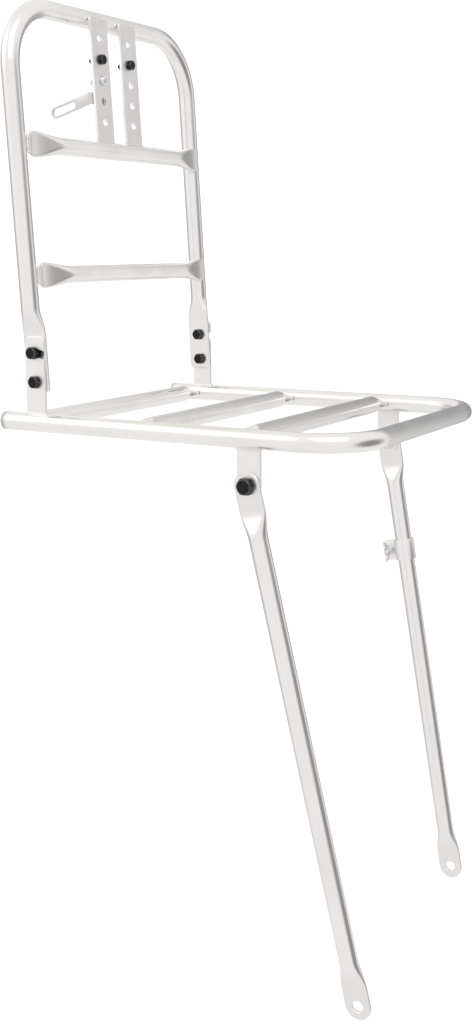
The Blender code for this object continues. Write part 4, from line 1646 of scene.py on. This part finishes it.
    def build_plugs(self) -> None:
        """The push-in caps in the rails' rear ends, with domed heads."""
        for side in Side:
            node = f"rail_plug_{side.word}"
            axes, length = stand(node, Y_AXIS)
            radius, cap = layout.tube, 2 * MM
            stem = radius - self.wall - 0.3 * MM
            seat = length - cap + 0.3 * MM
            rows, worn = rounded_profile([
                (0, 0, 0), (0, stem - 0.4 * MM, 0.2 * MM), (seat, stem, 0), (seat, radius, 0.2 * MM),
                (length - 0.5 * MM, radius, 0.4 * MM), (length, 0.6 * radius, 1.5 * MM), (length, 0, 0)])
            self.bench.stand_in(node, [turned(rows, axes, 0.0, worn)], Finish.PLUG, Edge.CRISP)

    def build_welds(self) -> None:
        """Beads round each slat end and along the foot of each tab."""
        beads, seed = [], 11
        full = math.pi / 2 * (layout.bar - self.slat_press.half_thickness)
        loop = stadium_loop(full, self.slat_press.half_thickness + 0.35 * MM)
        for side in Side:
            x = side.value * (layout.rail_x - layout.tube - 0.1 * MM)
            for slat in self.slats:
                middle = np.array([x, layout.middle(slat)[1], layout.deck_z])
                path = middle + loop[:, :1] * Y_AXIS + loop[:, 1:] * Z_AXIS
                beads.append(bead(path, self.slat_bead, True, seed))
                seed += 1
            for node, way in ((f"hinge_tab_{side.word}", 1), (f"leg_tab_{side.word}", -1)):
                low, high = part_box(node)
                reach = (high.y - low.y) / 2
                ring = stadium_loop(reach - 1.2 * MM, (high.x - low.x) / 2 + 0.45 * MM)
                middle = layout.middle(node)
                middle[2] = layout.deck_z + way * (layout.tube - 0.05 * MM)
                path = middle + ring[:, :1] * Y_AXIS + ring[:, 1:] * X_AXIS
                beads.append(bead(path, self.tab_bead, True, seed))
                seed += 1
        self.bench.add("deck_welds", beads, Finish.WELD, "deck")

    def build(self) -> None:
        """Makes the whole deck."""
        self.build_hoop()
        self.build_slats()
        self.build_tabs()
        self.build_plugs()
        self.build_welds()


# Back frame

@dataclass
class BackFrame:
    """The folding hoop with its crossbars, perforated strips and welds."""

    bench: Bench
    corner: float = 54 * MM
    below: float = 9 * MM  # pressed end below the pivot
    taper: float = 22 * MM
    clearance: float = 1 * MM
    fit: float = 0.3 * MM
    press_half: float = 1.5 * MM
    bar_press: Press = Press(3 * MM, 38 * MM, 3 * MM)
    weld_inset: float = 2.5 * MM
    strip_rounding: float = 0.35 * MM
    strip_corner: float = 2 * MM
    hole: float = 3.25 * MM
    holes: int = 5
    bar_bead: float = 1.3 * MM
    strip_bead: float = 0.75 * MM
    bars: tuple[str, ...] = ("crossbar_lower", "crossbar_upper")

    def local(self, node: str) -> tuple[Array, Array]:
        """A node's box in the back's own axes.

        Args:
            node: the node's name.

        Returns:
            Its lowest and its highest corner.
        """
        points = layout.back.into(layout.points(node))
        return points.min(axis=0), points.max(axis=0)

    def hoop_rows(self) -> tuple[Array, Array, Array]:
        """The hoop's line, which shifts outwards from the tabs to the rails while the tube grows round.

        Returns:
            The local centre line, its directions, and rows of (half thickness, half straight).
        """
        low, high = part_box("hinge_tab_left")
        pivot = layout.back.origin
        reach = math.hypot(high.z - pivot[2], (high.y - low.y) / 2)
        press = Press(self.below + reach + self.clearance, self.taper, 3 * MM)
        end = press.rows(layout.tube)
        flat_x = layout.rail_x - (high.x - low.x) / 2 - self.fit - self.press_half
        x = flat_x + (layout.rail_x - flat_x) * smoothstep((end[:, 0] - press.flat) / press.taper)
        z = end[:, 0] - self.below
        corner_x, corner_z = layout.rail_x - self.corner, layout.back_height - self.corner
        rise = abreast(-x, 0.0, z)
        fall = rise[::-1] * np.array([-1, 1, 1])
        left = quarter_bend(np.array([-corner_x, 0, corner_z]), self.corner, -X_AXIS, Z_AXIS)
        right = quarter_bend(np.array([corner_x, 0, corner_z]), self.corner, Z_AXIS, X_AXIS)
        middle = np.concatenate([straight_run(rise[-1], left[0]), left, straight_run(left[-1], right[0]),
                                 right, straight_run(right[-1], fall[0])])
        line = np.concatenate([rise, middle, fall])
        up, down = np.tile(Z_AXIS, (len(rise), 1)), np.tile(-Z_AXIS, (len(fall), 1))
        tangent = np.concatenate([up, directions(middle), down])
        plain = np.tile([layout.tube, 0.0], (len(middle), 1))
        return line, tangent, np.concatenate([end[:, 1:], plain, end[::-1, 1:]])

    def welds(self) -> Array:
        """Finds the welds on the hoop.

        Returns:
            The middle of each.
        """
        found = []
        for bar in self.bars:
            low, high = self.local(bar)
            found += [(end, -layout.tube, (low[2] + high[2]) / 2) for end in (low[0], high[0])]
        for side in Side:
            low, high = self.local(f"strip_{side.word}")
            found.append(((low[0] + high[0]) / 2, -layout.tube, high[2]))
        return layout.back.out(np.array(found))

    def build_hoop(self) -> None:
        """The inverted U of tube, pressed flat at its lower ends and drilled for the hinge bolts."""
        line, tangent, rows = self.hoop_rows()
        section = girth_section(rows[:, 0], rows[:, 1], ROUND_COLUMNS)
        rear = layout.back.rows[1]
        worn = 0.8 * (1 - rows[:, 0] / layout.tube)
        patch = swept(layout.back.out(line), tangent @ layout.back.rows, rear, section, layout.tube, worn)
        self.bench.stand_in("back_hoop", [heated(patch, self.welds())], Finish.TUBE)

    def build_bars(self) -> None:
        """The two crossbars, pressed flat and upright at both ends, on the front of the hoop."""
        up = layout.back.rows[2]
        for bar in self.bars:
            low, high = self.local(bar)
            start = layout.back.out(np.array([low[0], (low[1] + high[1]) / 2, (low[2] + high[2]) / 2]))
            ends = (self.bar_press, self.bar_press)
            patch = pressed_tube(start, X_AXIS, up, high[0] - low[0], (high[1] - low[1]) / 2, ends)
            self.bench.stand_in(bar, [heated(patch, self.welds())], Finish.TUBE)

    def build_strips(self) -> None:
        """The perforated strips, with slightly rounded edges and hole rims."""
        rows = layout.back.rows
        for side in Side:
            node = f"strip_{side.word}"
            low, high = self.local(node)
            middle = layout.back.out((low + high) / 2)
            axes = Axes(middle, np.array([rows[0], rows[2], -rows[1]]))
            half_x, half_z = (high[0] - low[0]) / 2, (high[2] - low[2]) / 2
            edge = outline([(half_x, -half_z, self.strip_corner), (half_x, half_z, self.strip_corner),
                            (-half_x, half_z, self.strip_corner), (-half_x, -half_z, self.strip_corner)])
            drilled = (layout.strip_hole(side, number, self.holes) for number in range(self.holes))
            holes = [circle(axes.into(place)[:2], self.hole) for place in drilled]
            patches = plate(edge, holes, high[1] - low[1], self.strip_rounding, axes.out)
            self.bench.stand_in(node, patches, Finish.PLATE)

    def build_welds(self) -> None:
        """Beads at the crossbars' ends and under the strips."""
        beads, seed = [], 71
        face = -(layout.tube + self.fit)
        for bar in self.bars:
            low, high = self.local(bar)
            upper, lower = high[2] - self.weld_inset, low[2] + self.weld_inset
            for side, end in ((-1, low[0]), (1, high[0])):
                x = end + side * 0.5 * MM
                line = np.array([(x - side * MM, face, upper), (x, face + 0.6 * MM, upper - 2 * MM),
                                 (x, face + 0.6 * MM, lower + 2 * MM), (x - side * MM, face, lower)])
                beads.append(bead(layout.back.out(line), self.bar_bead, False, seed))
                seed += 1
        for side in Side:
            low, high = self.local(f"strip_{side.word}")
            half, middle = (high - low) / 2, (high + low) / 2
            ring = stadium_loop(half[0] - 1.2 * MM, half[1] + 0.4 * MM)
            foot = np.array([middle[0], middle[1], low[2] - 0.2 * MM])
            line = foot + ring[:, :1] * X_AXIS + ring[:, 1:] * Y_AXIS
            beads.append(bead(layout.back.out(line), self.strip_bead, True, seed))
            seed += 1
        self.bench.add("back_welds", beads, Finish.WELD, "back_frame")

    def build(self) -> None:
        """Makes the whole back frame."""
        self.build_hoop()
        self.build_bars()
        self.build_strips()
        self.build_welds()


# Stem stay

@dataclass
class StemStay:
    """The slotted stay: one strip of sheet, folded square behind the left strip."""

    bench: Bench
    bend: float = 2.4 * MM  # radius of the fold at the sheet's middle
    arm_width: float = 10.5 * MM
    inset: float = 3 * MM  # the strip's edge to the leaf above the arm
    droop: float = math.radians(11.7)
    slot_radius: float = 3 * MM
    slot_length: float = 26 * MM
    hole: float = 3.25 * MM
    rounding: float = 0.3 * MM

    def arm_line(self, start_arm: float, foot: float, rear: float) -> tuple[Array, Array, Array]:
        """The middle line of the arm on the flat pattern.

        Args:
            start_arm: where the arm starts along the pattern.
            foot: how low the arm's tip comes.
            rear: how far the arm reaches behind the leaf.

        Returns:
            The line's root, the middle of the arm's round tip, and the line's direction.
        """
        half = self.arm_width / 2
        direction = np.array([math.cos(self.droop), -math.sin(self.droop)])
        reach = (rear - half) / math.cos(self.droop)
        root = np.array([start_arm - self.bend, foot + half + reach * math.sin(self.droop)])
        return root, root + direction * reach, direction

    def arm_end(self, root: Array, tip: Array, direction: Array) -> list[tuple[float, float, float]]:
        """Outline corners of the arm's round tip and of the knee where its upper side meets the leaf.

        Args:
            root: as arm_line() gives it.
            tip: the middle of the round tip.
            direction: the arm's direction.

        Returns:
            (first, second, rounding) corners.
        """
        half, up = self.arm_width / 2, np.array([-direction[1], direction[0]])
        quarter = math.pi / 2
        end = arc_points(tip, half, -self.droop - quarter, -self.droop + quarter, 26)
        knee = root + direction * 2 * self.bend + up * half
        return [*((a, b, 0.0) for a, b in end), (knee[0], knee[1], 3 * MM)]

    def arm_slot(self, tip: Array, direction: Array) -> Array:
        """The slot along the arm, whose far end lies round the tip's middle.

        Args:
            tip: the middle of the arm's round tip.
            direction: the arm's direction.

        Returns:
            The slot's loop.
        """
        half, up = self.slot_length / 2 - self.slot_radius, np.array([-direction[1], direction[0]])
        ring = stadium_loop(half, self.slot_radius)
        return tip - direction * half + ring[:, :1] * direction + ring[:, 1:] * up

    def build(self) -> None:
        """Makes the stay from its flat pattern.

        The first coordinate runs across the leaf, round the fold and out along the arm. On the fold it is
        the arc's length, so the angle turned is that length over the fold's radius.
        """
        rows = layout.back.rows
        axes = Axes(layout.joint_place("stay_swivel"), rows)
        points = axes.into(layout.points("stem_stay"))
        low, high = points.min(axis=0), points.max(axis=0)
        thickness = -2 * low[1]
        arm_x = low[0] + thickness / 2
        leaf, arc = high[0] - (arm_x + self.bend), math.pi / 2 * self.bend
        start_arm = leaf + arc

        def fold(local: Array) -> Array:
            """Takes points of the flat pattern to where the folded sheet has them.

            Args:
                local: rows of (along the pattern, up, through the sheet).

            Returns:
                The points in space.
            """
            along, up, through = local.T
            turn = np.clip((along - leaf) / self.bend, 0, math.pi / 2)
            beyond = np.clip(along - start_arm, 0, None)
            radius = self.bend + through
            x = np.where(along < leaf, high[0] - along, arm_x + self.bend - radius * np.sin(turn))
            y = np.where(along < leaf, -through, self.bend - radius * np.cos(turn) + beyond)
            return axes.out(abreast(x, y, up))

        root, tip, direction = self.arm_line(start_arm, low[2], high[1])
        foot, shoulder = root[1] - self.arm_width / 2, root[1] + self.arm_width / 2 - self.rounding
        low_x, high_x = layout.span("strip_left", X_AXIS)
        step = high[0] + (high_x - low_x) / 2 - self.inset
        leaf_end = [(start_arm, shoulder, 1 * MM), (step, shoulder, 0.8 * MM), (step, high[2], 1.5 * MM),
                    (0, high[2], 2 * MM)]
        edge = outline([(0, foot, 2 * MM), (start_arm, foot, 3 * MM), *self.arm_end(root, tip, direction),
                        *leaf_end])
        holes = [circle((high[0], 0.0), self.hole), self.arm_slot(tip, direction)]
        on_fold, up_fold = np.linspace(leaf, start_arm, 9)[1:-1], np.linspace(foot, shoulder, 10)[1:-1]
        fill = np.stack(np.meshgrid(on_fold, up_fold), axis=-1).reshape(-1, 2)
        patches = plate(edge, holes, thickness, self.rounding, fold, fill)
        self.bench.stand_in("stem_stay", patches, Finish.SHEET, Edge.CRISP)


# Legs

@dataclass
class Leg:
    """One leg: a tube with both ends pressed flat, drilled for its pivot bolt and its axle eye."""

    bench: Bench
    side: Side
    above: float = 20 * MM
    foot: float = 15 * MM
    taper: float = 24 * MM
    press_half: float = 1.5 * MM
    pivot_hole: float = 4.3 * MM
    eye: float = 5 * MM
    bevel: float = 0.35 * MM
    overrun: float = 2 * MM  # of the drills, past both faces

    def build(self) -> None:
        """Makes the leg."""
        axes, length = layout.leg(self.side)
        tip = self.press_half + math.pi / 2 * (layout.tube - self.press_half)
        rear, up = axes.rows[1], axes.rows[2]
        ends = (Press(tip + self.above, self.taper, tip), Press(tip + self.foot, self.taper, tip))
        patch = pressed_tube(axes.out(np.array([0, 0, tip])), -up, rear, length + 2 * tip, layout.tube, ends)
        piece = self.bench.stand_in(f"leg_{self.side.word}", [patch], Finish.TUBE)
        drills = []
        for down, radius in ((0.0, self.pivot_hole), (length, self.eye)):
            thick, wide = self.press_half, radius + self.bevel
            far = thick + self.overrun
            profile = np.array([
                (-far, 0), (-far, wide + self.overrun), (-thick, wide), (self.bevel - thick, radius),
                (thick - self.bevel, radius), (thick, wide), (far, wide + self.overrun), (far, 0)])
            drills.append(turned(profile, axes_along(axes.out(np.array([0, 0, -down])), X_AXIS)))
        cut(piece, drills)
        piece.data.set_sharp_from_angle(angle=SHARP_ANGLE)


# Lamp clip

@dataclass
class LampClip:
    """The strap clip on the right leg with its screw and wing nut."""

    bench: Bench
    gap: float = 2.6 * MM
    thickness: float = 1.3 * MM
    corner: float = 3.5 * MM
    rounding: float = 0.35 * MM
    hub_length: float = 7 * MM
    hub_radius: float = 4.6 * MM
    wing_span: float = 19 * MM
    wing_thickness: float = 2.4 * MM
    wing_root: float = 2.9 * MM
    wing_heights: tuple[float, float] = (2.3 * MM, 4.0 * MM)  # half the height, at the root and at the tip
    bore: float = 2.85 * MM

    def band_path(self, ring: float, ear: float) -> Array:
        """The strap's middle line seen along the leg: an ear, round the tube, and the other ear.

        A running mean over a few points turns the corners where the ears leave the ring into bends.

        Args:
            ring: the radius of the round part.
            ear: how far the ears reach.

        Returns:
            Points on the line.
        """
        side = (self.gap + self.thickness) / 2
        leave = math.asin(side / ring)
        root = ring * math.cos(leave)
        ear_line = np.linspace(ear, root, 40)
        turn = np.linspace(leave, math.tau - leave, 160)
        first = abreast(side, ear_line)
        middle = abreast(ring * np.sin(turn), ring * np.cos(turn))
        last = first[::-1] * np.array([-1, 1])
        line = np.concatenate([first, middle[1:-1], last])
        kernel = np.ones(7) / 7
        padded = np.pad(line, ((3, 3), (0, 0)), "edge")
        smooth = abreast(*(np.convolve(padded[:, axis], kernel, "valid") for axis in range(2)))
        smooth[:3], smooth[-3:] = line[:3], line[-3:]
        return smooth

    def build_band(self, axes: Axes) -> None:
        """The strap: a flat section with rounded edges, carried round the line.

        Near a tip the height falls by the corner's radius less the root of its square less the square of
        how far the corner has been entered, which rounds the ears.

        Args:
            axes: on the leg's centre line, at the clip's height.
        """
        high = axes.into(layout.points("clip_band")).max(axis=0)
        ring = high[0] - self.thickness / 2
        line = self.band_path(ring, high[1])
        place = distances(line)
        away = np.minimum(place, place[-1] - place)
        drop = np.clip(self.corner - away, 0, None)
        height = high[2] - self.corner + np.sqrt(np.clip(self.corner**2 - drop**2, 0, None))
        half = self.thickness / 2
        turn = np.linspace(0, math.pi / 2, EDGE_STEPS)
        thin = half - self.rounding + self.rounding * np.sin(turn)
        loop_thin = np.concatenate([thin, thin[::-1], -thin, -thin[::-1]])
        edge = self.rounding * (np.cos(turn) - 1)
        loop_edge = np.concatenate([edge, edge[::-1], edge, edge[::-1]])
        sign = np.repeat([1, -1, -1, 1], EDGE_STEPS)
        tangent = directions(line)
        normal = abreast(tangent[:, 1], -tangent[:, 0])
        shrink = np.ones(len(line))
        shrink[0] = shrink[-1] = 0.0
        flat = line[:, None] + (shrink[:, None] * loop_thin[None])[..., None] * normal[:, None]
        rise = sign * (height[:, None] + loop_edge[None])
        local = np.concatenate([flat, rise[..., None]], axis=2)
        lay = abreast(rise, place[:, None], loop_thin)
        # worn marks the strap's rounded edges and ear tips, where the plate finish paints its edge highlight
        worn = 0.5 * near(loop_edge + self.rounding, 0.2 * MM) + 0.5 * near(away, 1.5 * MM)[:, None]
        self.bench.stand_in("clip_band", [grid_patch(axes.out(local), lay, worn)], Finish.PLATE, Edge.CRISP)

    def wing(self, axes: Axes, way: int) -> Patch:
        """One wing: ellipses carried outwards, that grow and lean up and close in a round tip.

        At a share s of the way the middle is at 0.5 plus 1.2 times s to the 1.2 hub lengths. The ellipse's
        height is a growing line times the root of 1 less s to the eighth, which rounds the tip.

        Args:
            axes: the nut's, with the wings along the second direction and the hub along the third.
            way: 1 or -1, the side it is on.

        Returns:
            The patch.
        """
        share = np.linspace(0, 1, 30)[:, None]
        out = self.wing_root + (self.wing_span / 2 - self.wing_root) * share
        middle = self.hub_length * (0.5 + 1.2 * share**1.2)
        close = np.sqrt(np.clip(1 - share**8, 0, 1))
        root, tip = self.wing_heights
        tall = (root + (tip - root) * share) * close
        thick = self.wing_thickness / 2 * (1 - 0.25 * share) * close
        turn = np.arange(28) / 28 * math.tau
        local = abreast(thick * np.cos(turn), way * out, middle + tall * np.sin(turn))
        start = np.broadcast_to(local[:1].mean(axis=1, keepdims=True), local[:1].shape)
        local = np.concatenate([start, local])
        return grid_patch(axes.out(local), local, np.concatenate([[[0]], share]))

    def build_wing_nut(self, axes: Axes) -> None:
        """The wing nut: a turned hub and two wings.

        Args:
            axes: as wing() takes them.
        """
        seat, bore = axes.into(layout.points("wing_nut"))[:, 2].min(), self.bore
        rows, worn = rounded_profile([
            (seat + 0.4 * MM, bore, 0), (seat, bore + 0.4 * MM, 0), (seat, self.hub_radius, 0.4 * MM),
            (seat + 0.35 * self.hub_length, self.hub_radius, 0.5 * MM),
            (self.hub_length, self.hub_radius - 1.1 * MM, 0.7 * MM),
            (self.hub_length, bore + 0.4 * MM, 0), (self.hub_length - 0.4 * MM, bore, 0)])
        patches = [turned_ring(rows, axes, 0.0, worn), self.wing(axes, -1), self.wing(axes, 1)]
        self.bench.stand_in("wing_nut", patches, Finish.ZINC, Edge.CRISP)

    def build(self, fasteners: Fasteners) -> None:
        """Makes the clip on the right leg.

        Args:
            fasteners: makes the clip's screw.
        """
        leg, _ = layout.leg(Side.RIGHT)
        down = leg.into(layout.middle("clip_band"))[2]
        self.build_band(Axes(leg.out(np.array([0, 0, down])), leg.rows))
        fasteners.screw("clip_screw", Thread.M5.value, -X_AXIS, 11 * MM)
        rows = np.array([leg.rows[1], leg.rows[2], -X_AXIS])
        self.build_wing_nut(Axes(layout.joint_place("wing_nut_spin"), rows))


# Studio

@dataclass(frozen=True)
class SoftPatch:
    """A soft patch of the surroundings: where it is, in degrees from +X and up, and how bright.

    It starts where the cosine of the angle to its middle is at its start, and is whole at its full one.
    """

    heading: float
    height: float
    start: float
    full: float
    amount: float

    @property
    def direction(self) -> tuple[float, float, float]:
        """The unit direction of its middle."""
        turn, rise = math.radians(self.heading), math.radians(self.height)
        return math.cos(turn) * math.cos(rise), math.sin(turn) * math.cos(rise), math.sin(rise)


@dataclass(frozen=True)
class Lamp:
    """A soft square lamp: its name, where it hangs, its side and its power."""

    name: str
    place: tuple[float, float, float]
    side: float
    power: float

    def build(self) -> None:
        """Makes the lamp, which faces the middle of the rack."""
        data = bpy.data.lights.new(self.name, "AREA")
        data.size = self.side
        data.energy = self.power
        lamp = link(self.name, data)
        low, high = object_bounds()
        aim = (low + high) / 2 - Vector(self.place)
        lamp.matrix_world = Matrix.Translation(self.place) @ aim.to_track_quat("-Z", "Y").to_matrix().to_4x4()


@dataclass
class Studio:
    """A pale floor, soft white light, and the camera."""

    camera_place: tuple[float, float, float] = (-1.025, -0.41224, 0.61286)
    heading: float = math.radians(30.024)
    pitch: float = math.radians(-11.484)
    roll: float = math.radians(-0.313)
    lens: float = 45.75
    sensor: float = 36.0
    lamps: tuple[Lamp, ...] = (Lamp("key_lamp", (-2.0, -1.6, 3.6), 3.0, 24),
                               Lamp("fill_lamp", (-2.1, 2.7, 2.6), 2.4, 15))
    floor_size: float = 14.0
    floor_points: int = 9  # along a side
    floor_drop: float = 1 * MM
    floor_glow: float = 0.3
    backdrop: float = 1.2
    surroundings: float = 0.90
    patches: tuple[SoftPatch, ...] = (
        SoftPatch(130, 35, 0.70, 0.98, 0.08), SoftPatch(287, -12, 0.80, 0.97, -0.62),
        SoftPatch(2, 5, 0.80, 0.95, -0.55), SoftPatch(84, -6, 0.82, 0.98, -0.40))

    def build_camera(self) -> None:
        """The camera, from its place, heading from +X, pitch and roll."""
        forward = np.array([math.cos(self.heading) * math.cos(self.pitch),
                            math.sin(self.heading) * math.cos(self.pitch), math.sin(self.pitch)])
        right = np.array([math.sin(self.heading), -math.cos(self.heading), 0.0])
        up = np.cross(right, forward)
        turned_right = math.cos(self.roll) * right + math.sin(self.roll) * up
        turned_up = -math.sin(self.roll) * right + math.cos(self.roll) * up
        data = bpy.data.cameras.new("camera")
        data.lens = self.lens
        data.sensor_width = self.sensor
        camera = link("camera", data)
        turn = Matrix(abreast(turned_right, turned_up, -forward).tolist()).to_4x4()
        camera.matrix_world = Matrix.Translation(self.camera_place) @ turn
        bpy.context.scene.camera = camera

    def build_floor(self) -> None:
        """The floor: a broad level sheet with a faint mottle, just under the feet."""
        count = self.floor_points
        grid = np.linspace(-self.floor_size / 2, self.floor_size / 2, count)
        points = abreast(*np.meshgrid(grid, grid, indexing="ij"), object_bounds()[0].z - self.floor_drop)
        mesh = bpy.data.meshes.new("floor")
        mesh.from_pydata(points.reshape(-1, 3).tolist(), [], grid_faces(count, count, False, False).tolist())
        floor = link("floor", mesh)
        sheet = ShaderSheet("pale_floor")
        mottle = sheet.noise(sheet.place(), 3, 3.0)
        tint = sheet.blend(mottle, (0.90, 0.90, 0.90), (0.94, 0.94, 0.94))
        constant = {"Roughness": 0.9, "Specular IOR Level": 0.1, "Emission Strength": self.floor_glow}
        mesh.materials.append(sheet.finish({"Base Color": tint, "Emission Color": tint}, constant))
        floor.visible_glossy = False
        floor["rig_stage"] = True

    def build_world(self) -> None:
        """Even white surroundings, with brighter and darker patches that round metal picks up."""
        world = bpy.data.worlds.new("studio")
        bpy.context.scene.world = world
        world.use_nodes = True
        sheet = WorldSheet(world)
        strength = self.surroundings
        for patch in self.patches:
            facing = sheet.towards(patch.direction)
            strength = strength + patch.amount * sheet.band(facing, patch.start, patch.full)
        sheet.glow(strength, self.backdrop)

    def build(self) -> None:
        """Makes the whole studio."""
        self.build_camera()
        self.build_floor()
        self.build_world()
        for lamp in self.lamps:
            lamp.build()
        view = bpy.context.scene.view_settings
        view.view_transform = "Standard"
        view.look = "None"


class WorldSheet(ShaderSheet):
    """The node tree of the surroundings."""

    def __init__(self, world: bpy.types.World) -> None:
        """Keeps the world's tree and its background node."""
        self.tree = world.node_tree
        self.shader = self.tree.nodes["Background"]

    def towards(self, direction: Sequence[float]) -> Wire:
        """How nearly a ray points along a direction: the cosine of the angle between them.

        Args:
            direction: the unit direction.

        Returns:
            The cosine.
        """
        ray = self.node("ShaderNodeTexCoord", {}, {}, "Generated")
        settings, inputs = {"operation": "DOT_PRODUCT"}, {0: ray, 1: tuple(direction)}
        return self.node("ShaderNodeVectorMath", settings, inputs, "Value")

    def band(self, value: Wire, low: float, high: float) -> Wire:
        """A smooth rise from 0 at the low value to 1 at the high one."""
        settings = {"interpolation_type": "SMOOTHSTEP"}
        return self.node("ShaderNodeMapRange", settings, {"Value": value, "From Min": low, "From Max": high})

    def glow(self, strength: Wire, backdrop: float) -> None:
        """Lets the surroundings shine; seen straight, they are an even backdrop.

        Args:
            strength: how brightly they light the rack.
            backdrop: how bright they look themselves.
        """
        seen = self.node("ShaderNodeLightPath", {}, {}, "Is Camera Ray")
        shown = seen * backdrop + (1.0 - seen) * strength
        self.join(shown, self.shader.inputs["Strength"])
        self.shader.inputs["Color"].default_value = (1.0, 1.0, 1.0, 1)


def main() -> None:
    """Builds the rack's sub-assemblies in order, then the studio round them."""
    logging.basicConfig(level=logging.INFO, format="%(message)s")
    bench = Bench(build_finishes())
    Deck(bench).build()
    BackFrame(bench).build()
    StemStay(bench).build()
    fasteners = Fasteners(bench)
    fasteners.build()
    for side in Side:
        Leg(bench, side).build()
    LampClip(bench).build(fasteners)
    log.info("%d pieces made", bench.made)
    Studio().build()


if __name__ == "__main__":
    main()
